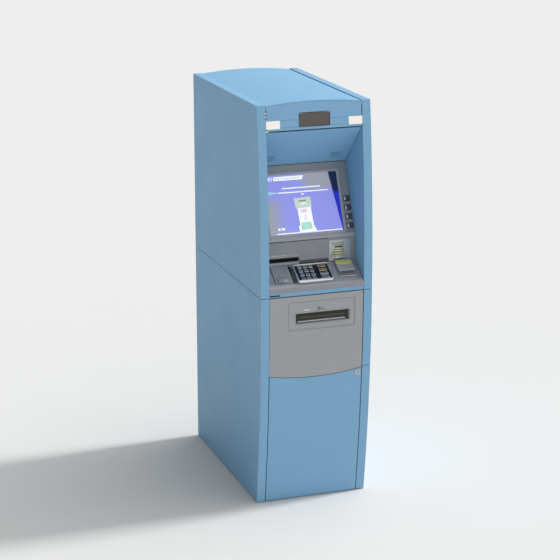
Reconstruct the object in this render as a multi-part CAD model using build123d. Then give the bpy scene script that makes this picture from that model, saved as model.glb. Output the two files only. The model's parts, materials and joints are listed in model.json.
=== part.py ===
# Free-standing lobby ATM: a safe base with a bowed front, and a head that slides forward over it.
# Millimetres. Origin at the middle of the footprint on the floor, +Z up, the user's side facing -Y.
from build123d import *
import math
import os

# ---- Overall sizes ----
width = 406.0               # across the side panels
depth = 767.0               # rear face to the most forward point of the front
height = 1420.0             # floor to the top edges of the side panels
crown_rise = 8.0            # middle of the top cover above the side panels
crown_drop = 3.0            # ends of the top cover below the side panels
bulge_height = 758.0        # height of the most forward point of the bowed front
front_radius = 5396.0       # radius of the bowed front, seen from the side
seam_height = 764.0         # the head stands on the base here
panel_seam_height = 486.0   # joint between the two lower panels on the right

# ---- Sheet metal and gaps ----
sheet = 2.0                 # thickness of covers and panels
pillar_width = 30.0         # front edge of each side panel
seam_gap = 2.0              # dark line between two panels
trim_gap = 1.0              # fixed front pieces to the side panels
right_gap = 3.0             # grey panel to the right pillar
floor_gap = 3.0             # panels and door above the floor
flange = 14.0               # turned edges of panels
pillar_return = 25.0        # turned edge behind each lower pillar
running_gap = 0.4           # sliding pieces to their guides
pin_fit = 0.05              # radial clearance of hinge pins and shafts

# ---- Niche: soffit, screen fascia and console, measured from the most forward point ----
soffit_front = (33.0, 1330.0)      # setback and height of the soffit's front edge
fascia_top = (193.0, 1180.0)
fascia_foot = (87.0, 937.0)
shelf_top = (87.0, 850.0)
shelf_nose = (10.0, 804.0)
lip_foot_height = 779.0
niche_return = 12.0                # side walls run on behind the fascia's top edge
moulding = 3.0                     # thickness of the moulded fascia and console

# ---- Display and function keys, along the sloping fascia ----
display_width = 280.0
display_start = 28.0               # fascia's top edge to the display opening
display_height = 222.0
glass_rim = 6.0
glass_thickness = 3.0
display_housing_depth = 40.0
function_key_width = 20.5
function_key_height = 16.5
function_key_inset = 3.25            # key's outer edge to the niche wall
function_key_rows = (133.0, 165.0, 197.0, 229.0)
function_key_rise = 2.5
key_gap = 0.4
key_flange = 1.5

# ---- Console pieces, along the sloping shelf ----
keypad_width = 128.0
keypad_centre = 1.0
keypad_start = 8.0
keypad_end = 88.0
keypad_rise = 5.0
keypad_depth = 24.0
keypad_key_rise = 3.0
keypad_columns = ((-42.0, 15.0), (-22.0, 15.0), (-2.0, 15.0), (38.0, 30.0))   # centre and width
keypad_first_row = 20.0
keypad_row_pitch = 18.6
keypad_key_height = 13.0
card_reader_width = 60.0
card_reader_centre = 122.0
card_reader_start = 4.0
card_reader_end = 79.0
card_reader_rise = 11.5
card_reader_depth = 22.0
card_mouth_width = 56.0
card_mouth_height = 6.5
contactless_pad_width = 60.0
contactless_pad_centre = -113.0
contactless_pad_rise = 4.0

# ---- Receipt slot in the upright foot of the fascia ----
receipt_slot_width = 105.0
receipt_slot_centre = -91.5
receipt_slot_height = 8.0
receipt_slot_level = 870.0

# ---- Header ----
header_foot_height = 1333.0
lamp_width = 49.0
lamp_foot_height = 1340.0
lamp_top_height = 1367.0
window_width = 109.0
window_foot_height = 1343.0
window_top_height = 1389.0
header_groove = 1.2

# ---- Dispenser panel and cash mouth ----
arch_end_height = 482.0            # grey panel's lower edge at the pillars
arch_middle_height = 466.0         # and in the middle
bezel_left = -105.0
bezel_right = 141.0
bezel_foot_height = 640.0
bezel_top_height = 742.0
mouth_left = -77.0
mouth_right = 120.0
mouth_foot_height = 663.0
mouth_top_height = 700.0
mouth_depth = 14.0
shutter_thickness = 3.0
shutter_overlap = 3.0
shutter_travel = 41.0

# ---- Lower door ----
door_thickness = 16.0
door_pivot_inset = 26.0            # pivot to the door's left edge
door_pivot_setback = 10.4          # pivot behind the surface at the door's top corner
swing_clearance = 0.7
door_pin_radius = 3.0
door_lug_foot = 431.0
door_lug_height = 24.0
lock_inset = 15.0                  # lock's middle to the door's right edge
lock_height = 463.0
lock_radius = 10.5
lock_cam_length = 26.0
lock_cam_thickness = 3.0

# ---- Safe ----
safe_width = 330.0
safe_front = -262.0
safe_rear_gap = 15.5
safe_height = 740.0
safe_wall = 12.0
safe_opening = (-95.0, 140.0, 60.0, 455.0)     # left, right, foot, top
safe_door_thickness = 20.0
safe_door_gap = 2.5
safe_hinge_x = -100.0
safe_hinge_setout = 8.0
safe_hinge_radius = 7.0
safe_pin_radius = 4.0
shaft_radius = 6.0                 # handle and dial shafts
safe_hinge_levels = (70.0, 355.0)
safe_hinge_length = 60.0
handle_x = 78.0
handle_height = 258.0
handle_length = 80.0
dial_height = 345.0
dial_radius = 28.0
bolt_radius = 9.0
bolt_levels = (130.0, 258.0, 386.0)
bolt_setback = 5.0                 # bolts behind the door's back face
anchor_radius = 9.0
anchor_spacing_x = 220.0
anchor_spacing_y = 450.0
anchor_middle_y = 55.0

# ---- Mains inlet in the rear panel ----
inlet_x = -120.0
inlet_level = 860.0

# ---- Cassettes and dispenser ----
cassette_count = 4
cassette_width = 200.0
cassette_length = 420.0
cassette_height = 94.0
cassette_pitch = 100.0
cassette_first_level = 62.0
rack_gap = 1.0
throat_gap = 4.0                   # opening in the safe's front around the dispenser's throat

# ---- Rails under the head ----
rail_x = 142.5
rail_width = 40.0
rail_wall = 4.0
rail_height = 56.0
rail_bar_height = 22.0
rail_slot = 10.0
rail_lip = 6.0
rail_front = -300.0
rail_rear = 344.0
frame_bar = 30.0

# ---- Derived places ----
front = -depth / 2
rear = depth / 2
half_width = width / 2
niche_half = half_width - pillar_width
fixed_half = niche_half - trim_gap
function_key_centre = niche_half - function_key_inset - function_key_width / 2
base_top = seam_height - seam_gap / 2
head_foot = seam_height + seam_gap / 2
cover_end_height = height - crown_drop
rail_foot = safe_height
rail_top = safe_height + rail_height
frame_foot = rail_top + seam_gap


def front_y(z, inset=0.0):
    """Y of the bowed front at height z, inset millimetres behind its surface."""
    rise = z - bulge_height
    return front + front_radius - math.sqrt((front_radius - inset) ** 2 - rise**2)


def block(x0, x1, y0, y1, z0, z1):
    """Box between two corners."""
    size = Box(x1 - x0, y1 - y0, z1 - z0)
    return Pos((x0 + x1) / 2, (y0 + y1) / 2, (z0 + z1) / 2) * size


def across(outline, x0, x1):
    """Prism of a closed outline in the YZ plane, from x0 to x1."""
    return extrude(Pos(x0, 0, 0) * Face(Wire(outline)), amount=x1 - x0, dir=(1, 0, 0))


def front_arc(z0, z1, inset):
    """Arc of the bowed front, low end first."""
    low, middle, high = [(0, front_y(z, inset), z) for z in (z0, (z0 + z1) / 2, z1)]
    return ThreePointArc(low, middle, high)


def front_slab(x0, x1, z0, z1, inset, back_y):
    """Solid from the bowed front, set in by inset, to the flat plane y = back_y."""
    arc = front_arc(z0, z1, inset)
    corners = [(0, back_y, z1), (0, back_y, z0)]
    return across([arc, Line(arc @ 1, corners[0]), Line(*corners), Line(corners[1], arc @ 0)], x0, x1)


def front_sheet(x0, x1, z0, z1, inset, thickness):
    """Curved sheet that follows the bowed front."""
    outer = front_arc(z0, z1, inset)
    inner = front_arc(z0, z1, inset + thickness)
    return across([outer, Line(outer @ 1, inner @ 1), inner, Line(inner @ 0, outer @ 0)], x0, x1)


def over_arch(end_z, middle_z, far_z, half, y0, y1):
    """Solid between a shallow arch across the width and the level far_z."""
    arch = ThreePointArc((-half, y0, end_z), (0, y0, middle_z), (half, y0, end_z))
    right = Line((half, y0, end_z), (half, y0, far_z))
    level = Line((half, y0, far_z), (-half, y0, far_z))
    left = Line((-half, y0, far_z), (-half, y0, end_z))
    return extrude(Face(Wire([arch, right, level, left])), amount=y1 - y0, dir=(0, 1, 0))


def slope(start, end):
    """Plane whose local -Y runs down from start to end and whose Z faces the user, and its length."""
    back, drop = start[0] - end[0], start[1] - end[1]
    length = math.hypot(back, drop)
    normal = (0, -drop / length, back / length)
    return Plane(origin=(0, front + start[0], start[1]), x_dir=(1, 0, 0), z_dir=normal), length


def plate(plane, x0, x1, s0, s1, low, high):
    """Box on a sloping plane: across, down the slope, and along its normal."""
    place = Pos((x0 + x1) / 2, -(s0 + s1) / 2, (low + high) / 2)
    return plane.location * place * Box(x1 - x0, s1 - s0, high - low)


def rod(radius, start, end):
    """Round bar between two points that differ along one axis."""
    direction = Vector(*end) - Vector(*start)
    return Plane(origin=start, z_dir=direction).location * Cylinder(
        radius, direction.length, align=(Align.CENTER, Align.CENTER, Align.MIN)
    )


soffit_plane, soffit_length = slope(soffit_front, fascia_top)
fascia_plane = slope(fascia_top, fascia_foot)[0]
shelf_plane = slope(shelf_top, shelf_nose)[0]
safe_rear = rear - safe_rear_gap
safe_half = safe_width / 2


# ---- Side panels and covers ----
def side_panel(side, z0, z1, lip):
    """Folded pan: skin, pillar, top, foot and rear edges, and the lip turned in behind the pillar."""
    inner, outer = side * niche_half, side * half_width
    pan = front_slab(*sorted((inner, outer)), z0, z1, 0, rear)
    hollow_sides = sorted((inner - side, outer - side * sheet))
    return pan - front_slab(*hollow_sides, z0 + sheet, z1 - sheet, sheet, rear - sheet) + lip


def lower_side_panel(side, z0, z1):
    """Side panel of the base, with a short lip."""
    sides = sorted((side * niche_half, side * (niche_half + sheet)))
    return side_panel(side, z0, z1, front_sheet(*sides, z0, z1, 0, pillar_return))


def upper_side_panel(side):
    """Side panel of the head, whose lip is the side wall of the niche."""
    sides = sorted((side * niche_half, side * (niche_half + sheet)))
    lip = front_slab(*sides, head_foot, height, 0, front + fascia_top[0] + niche_return)
    return side_panel(side, head_foot, height, lip)


def crown(drop, half, y0, y1, foot_z):
    """Solid under the crowned top, drop millimetres below it, down to foot_z."""
    top = height + crown_rise - drop
    return over_arch(cover_end_height - drop, top, foot_z, half, y0, y1)


def top_cover():
    """Crowned sheet between the side panels, with turned-down edges."""
    foot = cover_end_height - flange
    body = crown(0, fixed_half, front, rear, foot)
    hollow = crown(sheet, fixed_half - sheet, front - 1, rear - sheet, foot - 1)
    bowed = front_slab(-half_width, half_width, foot - 2, height + 2 * crown_rise, 0, rear + 1)
    return (body - hollow) & bowed


def header_openings(inset, thickness, gap):
    """The two lamps and the window, as curved plates grown by gap."""
    pieces = []
    for side in (-1, 1):
        edges = sorted((side * (fixed_half - lamp_width - gap), side * (fixed_half + gap)))
        pieces.append(front_sheet(*edges, lamp_foot_height - gap, lamp_top_height + gap, inset, thickness))
    half = window_width / 2 + gap
    window = front_sheet(-half, half, window_foot_height - gap, window_top_height + gap, inset, thickness)
    arched = over_arch(window_top_height - 4 + gap, window_top_height + gap, 0, half, front - 1, rear)
    return pieces, window & arched


def header_panel():
    """Bowed header sheet under the cover, with openings, two grooves and a turned-in foot."""
    foot, top = header_foot_height, height + crown_rise
    sheet_part = front_sheet(-fixed_half, fixed_half, foot, top, 0, sheet)
    sheet_part = sheet_part & crown(sheet + 0.5, fixed_half - sheet - 0.5, front - 1, rear, foot - 1)
    half = fixed_half - sheet - 0.5
    turned = front_slab(-half, half, foot, foot + sheet, 0, front_y(foot) + flange)
    panel = sheet_part + turned
    lamps, window = header_openings(-1, 2 * sheet + 2, 0.3)
    for piece in lamps + [window]:
        panel -= piece
    inner = window_width / 2 + 3
    outer = fixed_half - lamp_width - 3
    for level in (lamp_top_height, window_foot_height):
        for x0, x1 in ((-outer, -inner), (inner, outer)):
            groove_foot, groove_top = level - header_groove / 2, level + header_groove / 2
            panel -= front_sheet(x0, x1, groove_foot, groove_top, -1, 1 + header_groove)
    return panel


def header_lamps():
    """Two lamp lenses, one at each end of the header, each on a deeper block."""
    return [
        front_sheet(b.min.X, b.max.X, lamp_foot_height, lamp_top_height, 0, 5 * sheet)
        for b in (piece.bounding_box() for piece in header_openings(0, sheet, -0.2)[0])
    ]


def header_window():
    """Dark window in the middle of the header."""
    return header_openings(0.6, sheet + 1, -0.2)[1]


def soffit_panel():
    """Sloping ceiling of the niche, with two slotted sound grilles."""
    panel = plate(soffit_plane, -fixed_half, fixed_half, 4, soffit_length - 3, -sheet, 0)
    grille_half, grille_start, slot, pitch = 18.0, 155.0, 2.0, 4.4
    for side in (-1, 1):
        centre = side * (niche_half - 51)
        for row in range(8):
            s = grille_start + row * pitch
            panel -= plate(soffit_plane, centre - grille_half, centre + grille_half, s, s + slot, -9, 9)
    return panel


# ---- Screen fascia, display and function keys ----
def fascia_outline():
    """Bent moulding: the sloping screen face and the upright foot below it."""
    top = (0, front + fascia_top[0], fascia_top[1])
    bend = (0, front + fascia_foot[0], fascia_foot[1])
    foot = (0, front + fascia_foot[0], shelf_top[1] + 0.5)
    tilt = math.atan2(fascia_top[0] - fascia_foot[0], fascia_top[1] - fascia_foot[1])
    back_top = (0, top[1] + moulding * math.cos(tilt), top[2] - moulding * math.sin(tilt))
    back_bend = (0, bend[1] + moulding, bend[2] - moulding * math.tan(tilt / 2))
    back_foot = (0, foot[1] + moulding, foot[2])
    points = [top, bend, foot, back_foot, back_bend, back_top]
    return [Line(a, b) for a, b in zip(points, points[1:] + points[:1])]


def key_places():
    """Name and middle of each function key on the fascia."""
    sides = (("left", -function_key_centre), ("right", function_key_centre))
    for side_name, x in sides:
        for row, s in enumerate(function_key_rows, 1):
            yield f"function_key_{side_name}_{row}", x, s


def plate_about(plane, x, s, across_size, along_size, low, high):
    """Plate centred on a point of a sloping plane."""
    half_x, half_s = across_size / 2, along_size / 2
    return plate(plane, x - half_x, x + half_x, s - half_s, s + half_s, low, high)


def screen_fascia():
    """Moulding with the display opening, eight key openings and the receipt slot."""
    body = across(fascia_outline(), -fixed_half, fixed_half)
    half = display_width / 2
    body -= plate(fascia_plane, -half, half, display_start, display_start + display_height, -9, 9)
    for _, x, s in key_places():
        opening = (function_key_width + 2 * key_gap, function_key_height + 2 * key_gap)
        body -= plate_about(fascia_plane, x, s, *opening, -9, 9)
    foot_y = front + fascia_foot[0]
    slot_half, slot_high = receipt_slot_width / 2, receipt_slot_height / 2
    return body - block(
        receipt_slot_centre - slot_half,
        receipt_slot_centre + slot_half,
        foot_y - 9,
        foot_y + 9,
        receipt_slot_level - slot_high,
        receipt_slot_level + slot_high,
    )


def display_unit():
    """Rim in the fascia opening and the panel housing behind it, with a seat for the glass."""
    half, end = display_width / 2 - 0.3, display_start + display_height
    rim = plate(fascia_plane, -half, half, display_start + 0.3, end - 0.3, -moulding - 1, 0.8)
    back = plate(
        fascia_plane,
        1 - half,
        half - 1,
        display_start - 6,
        end - 6,
        -moulding - display_housing_depth,
        -moulding - 0.3,
    )
    return rim + back - glass(0.3, 2.0)


def glass(gap, extra):
    """Display glass grown by gap and extended forward by extra."""
    half = display_width / 2 - glass_rim + gap
    start = display_start + glass_rim - gap
    end = display_start + display_height - glass_rim + gap
    return plate(fascia_plane, -half, half, start, end, -0.5 - glass_thickness, -0.5 + extra)


def function_key(x, s):
    """Cap through the fascia with a retaining flange behind it."""
    cap = plate_about(
        fascia_plane, x, s, function_key_width, function_key_height, -moulding - 1, function_key_rise
    )
    top_edges = cap.edges().group_by(Axis(fascia_plane.origin, fascia_plane.z_dir))[-1]
    cap = fillet(top_edges, 0.8)
    skirt = -moulding - 0.3
    width_out, height_out = function_key_width + 2 * key_flange, function_key_height + 2 * key_flange
    return cap + plate_about(fascia_plane, x, s, width_out, height_out, skirt - key_flange, skirt)


# ---- Console ----
def console_shelf():
    """Sloping console with a rounded nose, an upright lip and openings for what stands in it."""
    back_y = front + shelf_top[0] + moulding
    top = (0, back_y, shelf_top[1])
    bend = (0, front + shelf_top[0], shelf_top[1])
    nose = (0, front + shelf_nose[0], shelf_nose[1])
    lip_top = (0, front_y(shelf_nose[1] - 9), shelf_nose[1] - 9)
    lip_foot = (0, front_y(lip_foot_height), lip_foot_height)
    inner_foot = (0, lip_foot[1] + moulding, lip_foot_height)
    inner_nose = (0, lip_foot[1] + moulding, shelf_nose[1] - 9)
    inner_bend = (0, front + shelf_top[0] + moulding, shelf_top[1] - moulding)
    points = [top, bend, nose, lip_top, lip_foot, inner_foot, inner_nose, inner_bend]
    lines = [Line(a, b) for a, b in zip(points, points[1:] + points[:1])]
    lines[2] = TangentArc(nose, lip_top, tangent=lines[1] % 1)
    body = across(lines, -fixed_half, fixed_half)
    for x0, x1, s0, s1 in console_places(0.5):
        body -= plate(shelf_plane, x0, x1, s0, s1, -2 * keypad_depth, 2 * keypad_depth)
    return body


def console_places(gap):
    """Left, right, start and end of the keypad, card reader and contactless pad openings."""
    for centre, size, start, end in (
        (keypad_centre, keypad_width, keypad_start, keypad_end),
        (card_reader_centre, card_reader_width, card_reader_start, card_reader_end),
        (contactless_pad_centre, contactless_pad_width - 8, keypad_start, card_reader_end),
    ):
        yield centre - size / 2 - gap, centre + size / 2 + gap, start - gap, end + gap


def keypad_keys():
    """Name, middle and width of each keypad key, row by row."""
    for row in range(4):
        s = keypad_first_row + row * keypad_row_pitch
        for column, (x, key_width) in enumerate(keypad_columns, 1):
            yield f"keypad_key_{row + 1}_{column}", keypad_centre + x, s, key_width


def keypad_housing():
    """Solid module with a stepped pocket under each key."""
    half = keypad_width / 2
    x0, x1 = keypad_centre - half, keypad_centre + half
    body = plate(shelf_plane, x0, x1, keypad_start, keypad_end, -keypad_depth, keypad_rise)
    top_edges = body.edges().group_by(Axis(shelf_plane.origin, shelf_plane.z_dir))[-1]
    body = fillet(top_edges, 1.5)
    for _, x, s, key_width in keypad_keys():
        mouth = (key_width + 2 * key_gap, keypad_key_height + 2 * key_gap)
        body -= plate_about(shelf_plane, x, s, *mouth, 0, 2 * keypad_rise)
        pocket = (key_width + 2 * key_flange, keypad_key_height + 2 * key_flange)
        body -= plate_about(shelf_plane, x, s, *pocket, -10, keypad_rise - moulding)
    return body


def keypad_key(x, s, key_width):
    """Cap with rounded top edges and a retaining flange below the housing's face."""
    size = (key_width, keypad_key_height)
    cap = plate_about(shelf_plane, x, s, *size, -3, keypad_rise + keypad_key_rise)
    top_edges = cap.edges().group_by(Axis(shelf_plane.origin, shelf_plane.z_dir))[-1]
    cap = fillet(top_edges, 1.0)
    overhang = 2 * (key_flange - key_gap)
    flange_size = (key_width + overhang, keypad_key_height + overhang)
    return cap + plate_about(shelf_plane, x, s, *flange_size, -3, keypad_rise - moulding - 0.3)


def card_reader():
    """Raised hood over a card mouth, a lower tray with ribs in front, and the body below."""
    half = card_reader_width / 2
    x0, x1 = card_reader_centre - half, card_reader_centre + half
    face = card_reader_end - 20
    body = plate(shelf_plane, x0, x1, card_reader_start, card_reader_end, -card_reader_depth, 3)
    body += plate(shelf_plane, x0, x1, card_reader_start, face, 3, card_reader_rise)
    mouth_half = card_mouth_width / 2
    left, right = card_reader_centre - mouth_half, card_reader_centre + mouth_half
    body -= plate(shelf_plane, left, right, card_reader_start + 8, face + 1, 3, 3 + card_mouth_height)
    for share in (0.2, 0.5, 0.8):
        rib = left + share * card_mouth_width
        body += plate(shelf_plane, rib - 1, rib + 1, face + 2, card_reader_end - 2, 2, 4)
    return body


def contactless_pad():
    """Ribbed pad on the console, seated through it."""
    half = contactless_pad_width / 2
    x0, x1 = contactless_pad_centre - half, contactless_pad_centre + half
    body = plate(shelf_plane, x0, x1, 4, card_reader_end + 4, 0, contactless_pad_rise)
    body += plate(shelf_plane, x0 + 4, x1 - 4, keypad_start, card_reader_end, -12, 0)
    for rib in range(9):
        s = keypad_start + 4 + rib * 8
        body += plate(shelf_plane, x0 + 5, x1 - 5, s, s + 3, contactless_pad_rise, contactless_pad_rise + 1)
    return body


# ---- Inside the head ----
def head_frame():
    """Floor beams, rear uprights, cross bars and the two runners that hang in the rails."""
    upright_half, cross, end_gap, strut_rise = 7.0, 20.0, 4.0, 3.0
    beam_front, beam_rear = rail_front + 10, rail_rear - end_gap
    strut_front, strut_depth = front + 50, 10.0
    cavity_top = rail_top - rail_lip
    cavity_foot = cavity_top - rail_bar_height
    beam_top = frame_foot + frame_bar
    web_half = rail_slot / 2 - running_gap
    bar_half = rail_width / 2 - rail_wall - running_gap
    runner = (rail_front + end_gap, beam_rear)
    strip_foot, strip_top = head_foot, lip_foot_height - 0.5
    strut_top = frame_foot + strut_rise
    low_reaches = [(beam_front + 130, frame_foot), (beam_rear - 56, frame_foot)]
    reaches = low_reaches + [(beam_rear - frame_bar, height - 200)]
    pieces = []
    for side in (-1, 1):
        x = side * rail_x
        post = (x - upright_half, x + upright_half)
        pieces += [
            block(*post, beam_front, beam_rear, frame_foot, beam_top),
            block(x - web_half, x + web_half, *runner, cavity_foot + end_gap, frame_foot),
            block(x - bar_half, x + bar_half, *runner, cavity_foot + running_gap, cavity_top - running_gap),
            block(*post, beam_rear - frame_bar, beam_rear, frame_foot, height - 60),
            block(*post, strut_front, strut_front + strut_depth, strip_foot, strut_top),
            block(*post, strut_front, beam_front + 2, frame_foot, strut_top),
        ]
        across_x = sorted((x, side * (half_width - sheet)))
        pieces += [block(*across_x, y, y + cross, z, z + cross) for y, z in reaches]
    for y in (beam_front, beam_rear - frame_bar):
        pieces.append(block(-rail_x, rail_x, y, y + frame_bar, frame_foot, frame_foot + 12))
    pieces.append(block(-rail_x, rail_x, beam_rear - cross, beam_rear, height - 90, height - 90 + cross))
    strip = front_sheet(-fixed_half, fixed_half, strip_foot, strip_top, 1.5, sheet)
    strip_back = strut_front + strut_depth
    strip += front_slab(-fixed_half, fixed_half, strip_foot, strip_foot + sheet, 1.5, strip_back)
    slot_left, slot_length, slot_level, slot_height = 3 - niche_half, 36.0, strip_foot + 3, 5.0
    slot = (slot_left, slot_left + slot_length, front - 1, front + 9)
    pieces.append(strip - block(*slot, slot_level, slot_level + slot_height))
    body = pieces[0]
    for piece in pieces[1:]:
        body += piece
    return body


def pc_core():
    """Computer case on the head's floor beams, with a slotted lid."""
    case_half, case_front, case_rear, case_height = 110.0, -60.0, 260.0, 170.0
    vent_half, vent_width, vent_pitch, vent_depth, vent_count = 80.0, 5.0, 14.0, 10.0, 10
    foot = frame_foot + frame_bar + 1
    top = foot + case_height
    body = block(-case_half, case_half, case_front, case_rear, foot, top)
    body = fillet(body.edges().filter_by(Axis.Z), 3)
    for row in range(vent_count):
        y = case_front + 30 + row * vent_pitch
        body -= block(-vent_half, vent_half, y, y + vent_width, top - vent_depth, top + 1)
    return body


def receipt_printer():
    """Printer body behind the fascia's foot, with the paper throat facing the slot and a roll on top."""
    left, right, printer_depth, below, above = -155.0, -28.0, 150.0, 28.0, 32.0
    roll_radius, roll_left, roll_right, cheek_thickness = 30.0, -150.0, -70.0, 3.0
    back = front + fascia_foot[0] + moulding
    top = receipt_slot_level + above
    body = block(left, right, back + 1, back + printer_depth, receipt_slot_level - below, top)
    half, high = receipt_slot_width / 2 - 3, receipt_slot_height / 2 - 0.5
    throat = (receipt_slot_centre - half, receipt_slot_centre + half, back, back + 30)
    roll_y, roll_z = back + printer_depth - 25, top + roll_radius - 1
    roll = rod(roll_radius, (roll_left, roll_y, roll_z), (roll_right, roll_y, roll_z))
    cheek_left = roll_right + 1
    cheek_x = (cheek_left, cheek_left + cheek_thickness)
    cheek = block(*cheek_x, roll_y - roll_radius, back + printer_depth, top - 1, roll_z + 5)
    return body + roll + cheek - block(*throat, receipt_slot_level - high, receipt_slot_level + high)


def head_rear_panel():
    """Rear sheet of the head with vents, an inlet opening and notches over the rails."""
    vent_half, vent_height, vent_pitch, vent_count, first_vent = 90.0, 5.0, 14.0, 12, height - 240
    top = cover_end_height - flange - 2
    rim_front = rear - flange
    through = (rim_front - 1, rear + 1)
    inner_half = fixed_half - sheet
    panel = block(-fixed_half, fixed_half, rim_front, rear, head_foot, top)
    panel -= block(-inner_half, inner_half, rim_front - 1, rear - sheet, head_foot + sheet, top - sheet)
    notch_half = rail_width / 2 + 2
    for side in (-1, 1):
        x = side * rail_x
        panel -= block(x - notch_half, x + notch_half, *through, 0, frame_foot)
    for row in range(vent_count):
        z = first_vent + row * vent_pitch
        panel -= block(-vent_half, vent_half, *through, z, z + vent_height)
    return panel - block(*inlet_box(0.2))


def inlet_box(gap):
    """Outline of the mains inlet's body, grown by gap."""
    left, right, foot, top = inlet_x - 14, inlet_x + 14, inlet_level - 10, inlet_level + 10
    return left - gap, right + gap, rear - 30, rear + 1, foot - gap, top + gap


def power_inlet():
    """Mains inlet: flange, body with a socket, and three blades."""
    wall, flange_x, flange_z, socket_depth, blade_half = 2.0, 6.0, 3.0, 18.0, 1.0
    x0, x1, _, _, z0, z1 = inlet_box(-0.2)
    body = block(x0, x1, rear - 26, rear, z0, z1)
    flange_faces = (rear - sheet - 3, rear - sheet - 0.2)
    body += block(x0 - flange_x, x1 + flange_x, *flange_faces, z0 - flange_z, z1 + flange_z)
    body -= block(x0 + wall, x1 - wall, rear - socket_depth, rear + 1, z0 + wall, z1 - wall)
    for x in (inlet_x - 7, inlet_x, inlet_x + 7):
        blade = (x - blade_half, x + blade_half, rear - socket_depth - 1, rear - 4)
        body += block(*blade, inlet_level - 2, inlet_level + 2)
    return body


# ---- Base: rear panel, dispenser panel, cash mouth ----
def lower_rear_panel():
    """Rear sheet of the base with turned-in edges."""
    panel = block(-fixed_half, fixed_half, rear - 12, rear, floor_gap, base_top)
    inner = (sheet - fixed_half, fixed_half - sheet, rear - 13, rear - sheet)
    return panel - block(*inner, floor_gap + sheet, base_top - sheet)


def dispenser_panel():
    """Grey front panel with an arched lower edge, a turned-in top and the bezel's opening."""
    left, right = -fixed_half, niche_half - right_gap
    skin = front_sheet(left, right, arch_middle_height - 1, base_top - 1, 0, moulding)
    skin &= over_arch(arch_end_height, arch_middle_height, seam_height, niche_half, front - 1, rear)
    skin += front_slab(left, right, base_top - 1 - moulding, base_top - 1, 0, front + flange)
    bezel_hole = (bezel_left - 0.3, bezel_right + 0.3, front - 9, front + 9)
    return skin - block(*bezel_hole, bezel_foot_height - 0.3, bezel_top_height + 0.3)


def dispenser_bezel():
    """Frame set in the panel, with the cash mouth and the shutter's two guides behind it."""
    frame = front_sheet(bezel_left, bezel_right, bezel_foot_height, bezel_top_height, 1, moulding + 1)
    back_y = front + mouth_depth
    tunnel = (mouth_left - 4, mouth_right + 4, front + 4, back_y)
    frame += block(*tunnel, mouth_foot_height - 4, mouth_top_height + 4)
    frame -= block(
        mouth_left, mouth_right, front - 9, back_y + 1, mouth_foot_height, mouth_top_height
    )
    guide_foot = mouth_foot_height - shutter_travel - 8
    slot_front, slot_back = shutter_faces()
    guide_front = front_y(guide_foot, moulding) + 0.5
    for x0, x1 in guide_sides():
        frame += block(x0, x1, guide_front, slot_back + 3, guide_foot, mouth_top_height + 6)
    inner_left, inner_right = mouth_left - shutter_overlap, mouth_right + shutter_overlap
    groove = (inner_left - running_gap, inner_right + running_gap)
    groove_y = (slot_front - running_gap, slot_back + running_gap)
    return frame - block(*groove, *groove_y, guide_foot + 4, mouth_top_height + 7)


def shutter_faces():
    """Front and back faces of the shutter."""
    shutter_front = front + mouth_depth + 1
    return shutter_front, shutter_front + shutter_thickness


def guide_sides():
    """Left and right faces of the two shutter guides."""
    return (mouth_left - 9, mouth_left - 1), (mouth_right + 1, mouth_right + 9)


def cash_shutter():
    """Flat shutter that drops to open the mouth, with two finger grooves."""
    groove_depth, groove_height = 0.8, 1.5
    left, right = mouth_left - shutter_overlap, mouth_right + shutter_overlap
    levels = (mouth_foot_height - 2, mouth_top_height + 2)
    face, back = shutter_faces()
    shutter = block(left, right, face, back, *levels)
    for level in (mouth_foot_height + 4, mouth_foot_height + 9):
        groove = (mouth_left + 4, mouth_right - 4, face - 1, face + groove_depth)
        shutter -= block(*groove, level, level + groove_height)
    return shutter


# ---- Lower door, lock ----
def door_edges():
    """Left edge, right edge and pivot of the lower door, from how far each corner swings out."""
    top = arch_end_height - seam_gap
    swing_left = math.hypot(door_pivot_inset, door_pivot_setback) - door_pivot_inset
    left = -niche_half + swing_left + swing_clearance
    pivot_x = left + door_pivot_inset
    pivot_y = front_y(top) + door_pivot_setback
    corner_back = front_y(floor_gap) + sheet - pivot_y
    reach = niche_half - pivot_x - swing_clearance
    right = pivot_x + math.sqrt(reach**2 - corner_back**2)
    return left, right, pivot_x, pivot_y


door_left, door_right, door_pivot_x, door_pivot_y = door_edges()
lock_x = door_right - lock_inset


def door_outline(z0, back_y):
    """Everything below the arch that the door's top edge follows."""
    return over_arch(
        arch_end_height - seam_gap, arch_middle_height - seam_gap, z0, niche_half, front - 1, back_y
    )


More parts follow.
